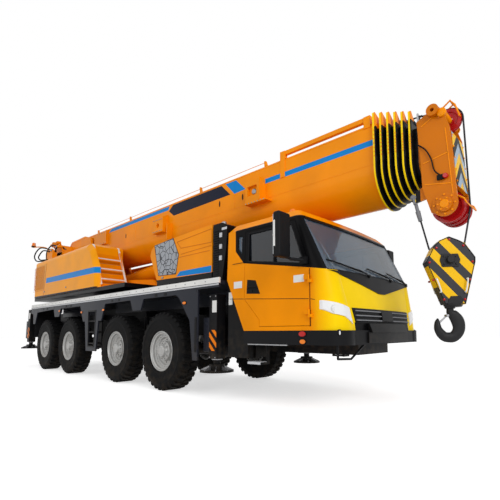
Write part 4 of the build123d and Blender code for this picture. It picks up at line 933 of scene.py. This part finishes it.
def make_valves():
    """Hoses, fittings, spools and pipes on the valve block."""
    hoses, fittings, spools, rack = Shape(), Shape(), Shape(), Shape()
    for lines, radius in ((HOSES, 19), (WINCH_HOSES, 16)):
        for line in lines:
            hoses.tube(smooth_line(line), radius, 10)
    hoses.make("valve_hoses", "rubber", UPPER, smooth=60)
    for line in HOSES:
        first = Vector(line[0])
        way = (Vector(line[1]) - first).normalized()
        fittings.rod(first - way * 30, first + way * 40, 26, 6)
    for x in VALVES:
        fittings.lathe(FITTING_PROFILE, (x, -VALVE_OUT, 3330), "y", 18, 0.1)
        spools.box(x - 46, x + 46, -VALVE_OUT - 12, -VALVE_OUT + 2, 3190, 3280)
        spools.lathe(SPOOL_PROFILE, (x, -VALVE_OUT, 3420), "y", 18)
    fittings.make("valve_fittings", "steel", UPPER)
    spools.make("valve_spools", "plastic", UPPER, bevel=4)
    for x, low, high in RACK_PIPES:
        rack.rod((x, -820, low), (x - 30, -900, high), 26, 14)
        rack.box(x - 60, x + 50, -990, -880, high - 60, high + 10)
        rack.rod((x - 5, -1010, high - 26), (x - 5, -860, high - 26), 20, 12)
    rack.rod((-7000, -930, 3700), (-6320, -930, 3660), 22, 14)
    rack.box(-6700, -6350, -1130, -1000, 3151, 3420).box(-6990, -6760, -1080, -960, 3151, 3520)
    rack.rod((-6600, -1070, 3400), (-6600, -1070, 3560), 46, 20)
    rack.rod((-6460, -1070, 3400), (-6460, -1070, 3500), 38, 20)
    rack.make("valve_rack", "paint", UPPER, bevel=5)


def make_upper_trim():
    """Pin covers, rear beacon, slewing ring and weld lines of the upper frame."""
    pin = PIVOT + Vector((0, EAR_OUT, 0))
    pins = Shape().lathe(((0, 26), (92, 26), (105, 16), (105, -2)), pin, "y", 40)
    pins.bolts(ring(8, pin + Vector((0, 24, 0)), 78), 11, 12).mirrored()
    pins.make("pivot_covers", "steel", UPPER, bevel=2)
    Shape().tube(smooth_line(BEACON_ARM), 17, 10).make("beacon_arm", "paint", UPPER, bevel=2, smooth=60)
    beacon = [(radius, height * 0.9) for radius, height in BEACON]
    Shape().lathe(beacon, REAR_BEACON, "z", 28).make("rear_beacon", "amber", UPPER)
    base = Shape().lathe(((0, -34), (60, -34), (72, 2), (60, 8), (0, 8)), REAR_BEACON, "z", 28)
    base.make("rear_beacon_base", "plastic", UPPER)
    profile = ((RING_R, -60), (RING_R + 26, -60), (RING_R + 26, -12), (RING_R, -12))
    slewing = Shape().lathe(profile, RING_PLACE, "z", 72)
    slewing.bolts(ring(36, (RING_PLACE[0], 0, 1888), RING_R + 14, "z"), 12, -14, "z")
    slewing.make("slewing_ring", "steel", UPPER)
    Shape().lines(EAR_WELDS, 10, EAR_OUT, EAR_OUT + 6).mirrored().make("ear_welds", "paint", UPPER)


def make_winch():
    """Rope in layers on the winch's drum, and its flange bolts."""
    profile = [(225, -DRUM_END)]
    for i in range(34):
        y = 4 - DRUM_END + 22 * i
        profile += [(262, y), (270, y + 5.5), (273, y + 11), (270, y + 16.5)]
    profile += [(262, DRUM_END - 4), (225, DRUM_END)]
    Shape().lathe(profile, WINCH, "y", 48).make("winch_rope", "rope", UPPER, smooth=70)
    flanges = Shape()
    for side in (-1, 1):
        face = WINCH + Vector((0, side * 420, 0))
        flanges.lathe(((80, 0), (318, 0), (322, 6), (300, 12), (90, 12)), face, "y", 48)
        flanges.bolts(ring(16, WINCH + Vector((0, side * 432, 0)), 210), 14, side * 12)
    flanges.make("winch_flanges", "iron", UPPER)


def make_operator_cab():
    """Seals, roof guard and lamps of the operator's cab, and its door's pane."""
    pane = Shape().box(-3186, -2514, 1336, 1346, 2644, 3366)
    pane.make("operator_door_pane", "pane", "operator_door")
    door = Shape().lines(closed(rectangle(-3182, -2518, 2648, 3362)), 22, 1352, 1359)
    door.tube(((-2480, 1356, 2500), (-2480, 1385, 2510), (-2480, 1385, 2760), (-2480, 1356, 2770)), 10, 10)
    door.make("operator_door_trim", "plastic", "operator_door")
    seal = Shape().lines(closed(CAB_WINDOW), 22, 1316, 1324).lines(closed(CAB_WINDOW), 22, 616, 624)
    seal.lines(closed(rectangle(-3150, -2500, 2750, 3400)), 22, 616, 624)
    seal.tube(((-1680, 970, 2950), (-1800, 960, 3230), (-1840, 960, 3330)), 8, 8)
    seal.make("operator_seals", "rubber", UPPER)
    guard, lamps = Shape(), Shape()
    for y in range(700, 1251, 110):
        guard.rod((-3050, y, GUARD_Z), (-1980, y, GUARD_Z), 9, 8)
    for x in (-3050, -2500, -1980):
        guard.rod((x, 690, GUARD_Z), (x, 1260, GUARD_Z), 11, 8)
        for y in (700, 1250):
            guard.rod((x, y, GUARD_Z - 25), (x, y, GUARD_Z + 2), 11, 8)
    guard.make("roof_guard", "black", UPPER)
    for y in (760, 1180):
        lamps.lathe(((0, 34), (44, 30), (52, 24), (52, -20), (30, -34), (0, -34)), (-1960, y, 3630), "x", 24)
        lamps.rod((-1960, y, 3556), (-1960, y, 3600), 12, 10)
    lamps.make("work_lamps", "lamp", UPPER)


make_housing_trim()
make_ladder()
make_valves()
make_upper_trim()
make_winch()
make_operator_cab()

# Boom: collars, ropes, slots and the head

BASE_HALF = 430
BASE_TOP = 540
STEP_HALF = 30
STEP_N = 32
COLLAR_T = 40
COLLAR_OUT = 60
ROPE_N = 612
ROPE_R = 11
TOP_SHEAVE = (10590, 391, 160)
LOW_SHEAVE = (10572, -790, 200)
SHEAVES = ((*TOP_SHEAVE, 0), (*LOW_SHEAVE, -130), (*LOW_SHEAVE, 0), (*LOW_SHEAVE, 130))
BOOM_SKIN = (-433, -428)
BOOM_SLOTS = ((2827, 140), (6521, 126), (7161, 107))
BOOM_WELDS = (((-380, -60), (9750, -60)), ((-120, 492), (9750, 492)))
# Bolted brackets: U and N from and to, face
BRACKETS = ((1060, 1820, 110, 470, 485), (4310, 4720, -100, 215, 550))
HEAD_HALF = 280
HEAD_WELDS = (
    ((10330, 300), (10560, 420)), ((10330, -200), (10640, -140)), ((10340, -480), (10660, -540)),
    ((10620, 180), (10672, -720)),
)
HEAD_CABLE = (
    (10290, -292, 60), (10380, -300, -40), (10440, -300, -180), (10470, -300, -330), (10540, -300, -420),
)
TOP_GUARD = ((10460, 500), (10520, 560), (10635, 637), (10690, 560), (10735, 400))
LOW_GUARD = ((10700, -690), (10770, -740), (10796, -800))


def section_body(number):
    return BASE if number == 0 else f"boom_section_{number}"


def make_collars():
    """Pads and bolts of each collar."""
    for number in range(SECTIONS):
        end = COLLAR_U + COLLAR_T + number * COLLAR_PITCH
        half = BASE_HALF - number * STEP_HALF + COLLAR_OUT
        top = BASE_TOP - number * STEP_N + COLLAR_OUT
        low = -BASE_TOP + number * STEP_N + half - COLLAR_OUT + 20
        pads = Shape(BOOM)
        for n in (top - 210, low + 60):
            pads.box(end - 4, end + 8, half - 34, half + 5, n - 45, n + 45)
            pads.bolts([(end + 8, half - 18, n + step) for step in (-26, 26)], 8, 7, "x")
        pads.mirrored()
        for y in (-0.55 * half, 0, 0.55 * half):
            pads.box(end - 4, end + 8, y - 50, y + 50, top - 34, top + 4)
        pads.make(f"collar_pads_{number}", "black", section_body(number), bevel=3)
        places = [(end - COLLAR_T / 2, half, low + 110 + (top - low - 330) * i / 6) for i in range(7)]
        edge = Shape(BOOM).bolts(places, 9, 6).mirrored()
        edge.make(f"collar_bolts_{number}", "paint", section_body(number))


def make_boom_rope():
    """The hoist rope on top of the boom, one part to each section, and over the head."""
    for number in range(SECTIONS):
        start = -300 if number == 0 else COLLAR_U - 200 + (number - 1) * COLLAR_PITCH
        end = COLLAR_U + COLLAR_T + 30 + number * COLLAR_PITCH
        rope = Shape(BOOM).rod((start, 0, ROPE_N), (end, 0, ROPE_N), ROPE_R)
        rope.make(f"hoist_rope_{number}", "rope", section_body(number), smooth=60)
        top = BASE_TOP - number * STEP_N
        u, foot = (600, top - 2) if number == 0 else (end - 45, top + 50)
        guide = Shape(BOOM).rod((u - 6, -40, ROPE_N + 24), (u - 6, 40, ROPE_N + 24), 9, 10)
        for y in (-34, 34):
            guide.box(u - 18, u + 6, y - 7, y + 7, foot, ROPE_N + 34)
        guide.make(f"rope_guide_{number}", "steel", section_body(number))
    line = [(COLLAR_U + 5 * COLLAR_PITCH - 20, 0, ROPE_N)]
    for (u, n, radius), count, start, step in ((TOP_SHEAVE, 9, 90, 11), (LOW_SHEAVE, 4, 2, 9)):
        line += [Vector((u, 0, n)) + around("y", radius + ROPE_R, math.radians(start - step * i))
                 for i in range(count)]
    Shape(BOOM).tube(line, ROPE_R, 12).make("hoist_rope_head", "rope", HEAD, smooth=60)
    lead = ((WINCH.x + 60, 0, WINCH.z + 268), (-6420, 0, 3560), (-6350, 0, PIVOT.z + ROPE_N))
    Shape().tube(lead, ROPE_R, 12).make("hoist_rope_lead", "rope", UPPER, smooth=60)


def make_sheaves():
    """Grooved sheaves in place of the plain ones."""
    shape = Shape(BOOM)
    for u, n, radius, y in SHEAVES:
        groove = radius - 22
        profile = symmetric(((52, -27), (70, -27), (76, -14), (groove - 30, -14), (groove - 20, -27),
                             (radius - 1, -27), (radius - 1, -19), (groove, -8)))
        shape.lathe(profile, (u, y, n), steps=48)
    shape.make("sheaves", "red", HEAD, instead_of="head_sheaves")


def make_boom_trim():
    """Slots, bracket bolts and weld lines on the boom's sides."""
    slots = Shape(BOOM)
    for u, n in BOOM_SLOTS:
        slots.prism(oval(u, n, 34, 120), -434, -427)
    slots.mirrored().make("boom_slots", "black", BASE, bevel=1)
    welds = Shape(BOOM).lines(BOOM_WELDS, 9, *BOOM_SKIN)
    welds.lines([((u, -80), (u, 480)) for u in (3300, 6950)], 8, *BOOM_SKIN)
    welds.mirrored().make("boom_welds", "boom", BASE)
    bolts = Shape(BOOM)
    for u0, u1, n0, n1, out in BRACKETS:
        for i in range(6):
            u = u0 + 40 + (u1 - u0 - 80) * i / 5
            bolts.bolts(((u, -out, n0 + 28), (u, -out, n1 - 28)), 12, -9)
    bolts.bolts([(u, -580, -126) for u in range(7400, 7860, 70)], 10, -8)
    bolts.lathe(((0, -12), (40, -12), (52, -2), (52, 4)), (7540, -524, 88), "y", 24)
    bolts.make("boom_bolts", "steel", BASE)


def make_head():
    """Chevron plate, guards, bolts, cable and lamp of the boom's head."""
    chevron = Shape(BOOM).prism(((10679, 132), (10681, 132), (10711, -561), (10705, -561)), -246, 246)
    chevron.make("chevron_plate", "chevron", HEAD, bevel=1)
    guards = Shape(BOOM)
    for line, y in ((TOP_GUARD, 62), (LOW_GUARD, 210.8)):
        for across in (-y, y):
            guards.tube([(u, across, n) for u, n in line], 11, 10)
    for (u, n), half, radius in ((TOP_GUARD[2], 70, 10), (TOP_GUARD[-1], 70, 10), (LOW_GUARD[-1], 211, 9)):
        guards.rod((u, -half, n), (u, half, n), radius, 10)
    guards.make("rope_guards", "paint", HEAD, smooth=60)
    low, top = [Vector((u, HEAD_HALF, n)) for u, n, _ in (LOW_SHEAVE, TOP_SHEAVE)]
    hub = low + Vector((0, 45, 0))
    bolts = Shape(BOOM).bolts(ring(6, hub, 72), 12, 10).bolts(ring(8, low + Vector((0, 18, 0)), 122), 13, 10)
    bolts.lathe(((0, 8), (48, 8), (56, 0), (56, -4)), hub, "y", 28)
    bolts.lathe(((0, 34), (40, 34), (56, 26), (56, -4)), top, "y", 28)
    bolts.bolts([(10681 + (132 - n) * 30 / 693, 226, n) for n in (90, -60, -210, -360, -510)], 11, 8, "x")
    bolts.mirrored().make("head_bolts", "paint", HEAD)
    welds = Shape(BOOM).lines(HEAD_WELDS, 11, HEAD_HALF - 1, HEAD_HALF + 5)
    welds.mirrored().make("head_welds", "paint", HEAD)
    cable = Shape(BOOM).tube(smooth_line(HEAD_CABLE), 9, 8).box(10500, 10580, -312, -278, -470, -410)
    cable.make("head_cable", "rubber", HEAD, smooth=60)
    profile = ((0, -330), (26, -328), (32, -318), (32, -290), (0, -290))
    Shape(BOOM).lathe(profile, (10600, 0, -440), "y", 24).make("head_lamp", "red_lamp", HEAD)


make_collars()
make_boom_rope()
make_sheaves()
make_boom_trim()
make_head()

# Hook block, hook and the rope's fixed end

BLOCK_HALF = 85
BLOCK_SIDE = (
    (-184, 2061), (-108, 2136), (3, 2181), (110, 2135), (186, 2093), (300, 1915), (297, 1856), (159, 1340),
    (-80, 1340), (-279, 1871),
)
BLOCK_RIM = tuple((0.97 * x, 1750 + 0.98 * (z - 1750)) for x, z in BLOCK_SIDE)
BLOCK_BOLTS = (
    (-150, 2040), (3, 2140), (165, 2060), (-240, 1860), (262, 1860), (-90, 1400), (150, 1400), (-205, 1640),
    (222, 1640),
)
NUT_PROFILE = ((0, 44), (40, 44), (46, 34), (46, 10), (62, 10), (62, 0))
HUB_PLATE = ((-95, 1960), (95, 1960), (120, 1888), (95, 1800), (-95, 1800), (-120, 1888))
FOOT_PLATE = ((-40, 1400), (-10, 1440), (100, 1440), (130, 1400), (120, 1345), (-50, 1345))
# Hook: X, radius and Z down the shank and round the bowl to the tip
HOOK_LINE = (
    (0, 40, 1340), (0, 42, 1275), (8, 52, 1240), (41, 68, 1207), (82, 78, 1140), (93, 72, 1055),
    (68, 68, 990), (22, 65, 947), (-26, 62, 940), (-80, 60, 949), (-122, 56, 989),
    (-150, 47, 1040), (-157, 39, 1090), (-156, 30, 1130), (-152, 16, 1160), (-151, 5, 1174),
)
HOOK_HALF = 42


def make_block():
    """Plates, bolts, handles and nut on both cheeks of the hook block."""
    bolts = Shape(BLOCK)
    for x, z in BLOCK_BOLTS:
        bolts.lathe(((0, 14), (11, 12), (14, 6), (14, -2)), (x, BLOCK_HALF, z), "y", 12)
    bolts.mirrored().make("block_bolts", "red", "hook_block")
    plates = Shape(BLOCK).prism(HUB_PLATE, BLOCK_HALF - 2, BLOCK_HALF + 12)
    plates.lathe(NUT_PROFILE, (0, BLOCK_HALF + 6, 1888), "y", 24)
    plates.bolts([(x, BLOCK_HALF + 12, z) for x in (-70, 70) for z in (1835, 1930)], 12, 9)
    plates.prism(FOOT_PLATE, BLOCK_HALF - 2, BLOCK_HALF + 8).mirrored()
    plates.lathe(((0, -24), (96, -24), (110, -6), (110, 14), (0, 14)), (38, 0, 1336), "z")
    plates.make("block_plates", "iron", "hook_block", bevel=3)
    handles = Shape(BLOCK)
    for side in (-1, 1):
        face, out = side * (BLOCK_HALF - 4), side * (BLOCK_HALF + 36)
        for x0, x1 in ((-170, -130), (186, 160)):
            line = ((x0, face, 1650), (x0, out, 1640), (x1, out, 1500), (x1, face, 1490))
            handles.tube(smooth_line(line), 9, 10)
    handles.make("block_handles", "white", "hook_block", smooth=60)
    edges = Shape(BLOCK).lines(closed(BLOCK_RIM), 9, BLOCK_HALF - 16, BLOCK_HALF + 3).mirrored()
    edges.make("block_edges", "black", "hook_block")


def make_hook():
    """Forged hook of round section, with its latch, on the block's shank."""
    rows = []
    line = smooth_line(HOOK_LINE, 4)
    for before, (x, radius, z), after in zip(line[:1] + line, line, line[1:] + line[-1:]):
        way = Vector((after.x - before.x, after.z - before.z)).normalized()
        rows.append([(x - way.y * radius * math.cos(turn), min(radius, HOOK_HALF) * math.sin(turn),
                      z + way.x * radius * math.cos(turn)) for turn in turns(24)])
    shape = Shape(BLOCK).loft(rows)
    shape.lathe(((0, 1338), (58, 1338), (62, 1326), (62, 1302), (54, 1292), (0, 1292)), axis="z", steps=28)
    shape.make("forged_hook", "iron", "hook", smooth=60, instead_of="hook")
    latch = Shape(BLOCK).prism(((-62, 1196), (-30, 1210), (-122, 1118), (-140, 1128)), -20, 20)
    latch.lathe(((0, -46), (17, -46), (17, 46), (0, 46)), (-42, 0, 1206), "y", 16)
    latch.make("hook_latch", "steel", "hook", bevel=4)


def make_dead_end():
    """The rope's fixed part: socket at the boom's head, and rope down into the block."""
    socket = Shape().rod((4138, -232, 2720), (4168, -225, 2560), 22, 20)
    socket.rod((4168, -225, 2560), (4195, -218, 2428), 31, 20, end_radius=25)
    for y in (-260, -204):
        socket.lathe(((0, -9), (36, -9), (36, 9), (0, 9)), (4130, y, 2745), "y", 24)
        socket.rod((4130, y, 2745), (4146, y, 2650), 16, 10)
    socket.rod((4130, -280, 2745), (4130, -188, 2745), 17, 16)
    socket.make("rope_socket", "grey", HEAD, smooth=60)
    start, end = Vector((4195, -218, 2440)), Vector((4285, -218, 2043))
    rope = Shape().tube([start.lerp(end, i / 16) for i in range(17)], ROPE_R, 12)
    piece = rope.make("dead_end_rope", "rope", None, smooth=60)
    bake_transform(piece)


make_block()
make_hook()
make_dead_end()

# Outriggers and axles. Columns: place, jack X, foot's height, cover from and to in X

OUTRIGGERS = (("front", 1320, 402, 1092, 1231), ("rear", -7670, 530, -7898, -7759))
JACK_Y = 1170
JACK_OUT = 1260
POT_PROFILE = (
    (0, -80), (82, -80), (90, -70), (90, -10), (96, -6), (96, 6), (90, 10), (90, 60), (70, 80), (0, 80),
)
TANK_PROFILE = ((0, -300), (60, -296), (110, -276), (128, -240), (128, 240), (110, 276), (60, 296), (0, 300))


def make_outrigger_trim(place, jack_x, foot_z, cover_x0, cover_x1, name, side):
    """Hazard plate, blank label, cover and collar of a jack's housing, and the ribs of its foot."""
    low = foot_z + 200
    body = f"outrigger_beam_{place}_{name}"
    end = f"{place}_{name}"
    skin = (side * (JACK_OUT - 2), side * (JACK_OUT + 3))
    Shape().box(jack_x - 84, jack_x + 84, *skin, low + 124, low + 445).make(f"hazard_{end}", "hazard", body)
    label = Shape().box(jack_x - 20, jack_x + 84, *skin, low + 717, low + 903)
    label.make(f"jack_label_{end}", "white", body, bevel=1)
    outline = ((cover_x0, low + 110), (cover_x1, low + 100), (cover_x1, low + 640), (cover_x0, low + 640))
    cover = Shape().prism(outline, side * 1234, side * 1262)
    cover.box(cover_x0 + 30, cover_x1 - 30, side * 1258, side * 1270, low + 520, low + 560)
    cover.make(f"jack_cover_{end}", "wing", body, bevel=5)
    profile = ((60, -14), (86, -14), (86, 8), (60, 8), (60, -14))
    cap = Shape().lathe(profile, (jack_x, side * JACK_Y, low), "z")
    places = [(jack_x + x, side * JACK_OUT, low + z) for x in (-66, 66) for z in (24, 970)]
    cap.bolts(places, 11, side * 8).make(f"jack_collar_{end}", "steel", body)
    foot = Shape()
    for turn in turns(8):
        out, across = around("z", 1, turn), around("z", 1, turn - math.pi / 2)
        centre = Vector((jack_x, side * JACK_Y, foot_z))
        foot.loft([[centre + out * radius + across * half + Vector((0, 0, z))
                    for half, z in ((-6, 29), (6, 29), (6, height), (-6, height))]
                   for radius, height in ((118, 96), (245, 40))])
    foot.make(f"foot_ribs_{end}", "steel", f"outrigger_jack_{end}")


def make_running_gear():
    """Springs, brake pots and differential covers on the axles, tanks and flaps on the frame."""
    gear = Shape()
    for _, x in AXLES:
        for z in range(820, 1025, 34):
            gear.lathe(((52, -9), (66, -6), (72, 0), (66, 6), (52, 9)), (x, 640, z), "z", 24)
        gear.lathe(POT_PROFILE, (x - 190, 700, 760), "z", 24)
    gear.mirrored()
    for _, x in AXLES:
        gear.lathe(((0, -18), (96, -12), (150, 30), (150, 40), (0, 60)), (x - 150, 0, TYRE_R), "x")
        gear.bolts(ring(12, (x - 116, 0, TYRE_R), 132, "x"), 11, -12, "x")
    gear.make("axle_gear", "iron")
    Shape().lathe(TANK_PROFILE, (-2800, 700, 1180), "x").mirrored().make("air_tanks", "black", smooth=60)
    flaps = Shape().box(-6806, -6798, 640, 1335, 880, 1739).box(-6798, -6786, 650, 1325, 1660, 1705)
    flaps.row(6, (0, 115, 0), -6798, -6792, 692, 708, 900, 1600)
    flaps.bolts([(-6786, 700 + 115 * i, 1682) for i in range(6)], 11, 9, "x")
    flaps.mirrored().make("mud_flaps", "rubber", bevel=2)


for columns in OUTRIGGERS:
    for side_name, side in SIDES:
        make_outrigger_trim(*columns, side_name, side)
make_running_gear()

# Floor, light and camera

FLOOR_GLOW = 0.6
CAMERA_PLACE = (5917.4, -5050.0, 1013.7)
CAMERA_YAW = math.radians(131.906)
CAMERA_PITCH = math.radians(6.0)
CAMERA_ROLL = math.radians(-0.186)
CAMERA_FOCAL = 377.31
CAMERA_CENTRE = (270.02, 292.26)
IMAGE = 500


def seen(tree):
    """1 for rays that show the background: from the camera, off gloss and through glass."""
    path = add(tree, "ShaderNodeLightPath").outputs
    shown = combine(tree, "MAXIMUM", path["Is Camera Ray"], path["Is Glossy Ray"])
    return combine(tree, "MAXIMUM", shown, path["Is Transmission Ray"])


def make_floor():
    """Pale floor that looks white to the camera and keeps the shadow."""
    bpy.ops.mesh.primitive_plane_add(size=120, location=(0, 0, -0.002))
    floor = bpy.context.object
    floor.name = "floor"
    material, tree, shader = new_material("floor")
    shader.inputs["Base Color"].default_value = (0.80, 0.80, 0.80, 1)
    shader.inputs["Roughness"].default_value = 0.9
    shader.inputs["Emission Color"].default_value = (1, 1, 1, 1)
    glow = combine(tree, "MULTIPLY", seen(tree), FLOOR_GLOW)
    tree.links.new(glow, shader.inputs["Emission Strength"])
    floor.data.materials.append(material)


def make_world():
    """White behind the object, and a soft even light on it."""
    world = bpy.data.worlds.new("studio")
    bpy.context.scene.world = world
    world.use_nodes = True
    background = world.node_tree.nodes["Background"]
    level = spread(world.node_tree, seen(world.node_tree), 0.0, 1.0, 0.55, 1.0)
    background.inputs["Color"].default_value = (1, 1, 1, 1)
    world.node_tree.links.new(level, background.inputs["Strength"])


def area_light(name, place, target, size, power):
    """Soft lamp that looks at a point."""
    data = bpy.data.lights.new(name, "AREA")
    data.shape = "RECTANGLE"
    data.size, data.size_y = size
    data.energy = power
    lamp = bpy.data.objects.new(name, data)
    bpy.context.collection.objects.link(lamp)
    lamp.location = place
    lamp.rotation_euler = (Vector(target) - Vector(place)).to_track_quat("-Z", "Y").to_euler()


def make_camera():
    """Camera at the photo's viewpoint, from a fit to measured points."""
    forward = around("z", math.cos(CAMERA_PITCH), CAMERA_YAW, math.sin(CAMERA_PITCH))
    level = Vector((math.sin(CAMERA_YAW), -math.cos(CAMERA_YAW), 0))
    upright = level.cross(forward)
    right = math.cos(CAMERA_ROLL) * level + math.sin(CAMERA_ROLL) * upright
    up = -math.sin(CAMERA_ROLL) * level + math.cos(CAMERA_ROLL) * upright
    data = bpy.data.cameras.new("camera")
    data.sensor_width = 36.0
    data.lens = CAMERA_FOCAL / IMAGE * data.sensor_width
    data.shift_x = (IMAGE / 2 - CAMERA_CENTRE[0]) / IMAGE
    data.shift_y = (CAMERA_CENTRE[1] - IMAGE / 2) / IMAGE
    data.clip_end = 300
    camera = bpy.data.objects.new("camera", data)
    bpy.context.collection.objects.link(camera)
    place = Vector((CAMERA_PLACE[0] - ORIGIN_X, CAMERA_PLACE[1], CAMERA_PLACE[2])) * MM
    camera.matrix_world = Matrix.Translation(place) @ Matrix((right, up, -forward)).transposed().to_4x4()
    bpy.context.scene.camera = camera


make_floor()
make_world()
make_camera()
area_light("key", (17, -7, 9), (4, 0, 2), (7, 7), 1100)
area_light("side", (0, -16, 9), (0, 0, 2), (14, 6), 420)
bpy.context.scene.view_settings.view_transform = "Standard"
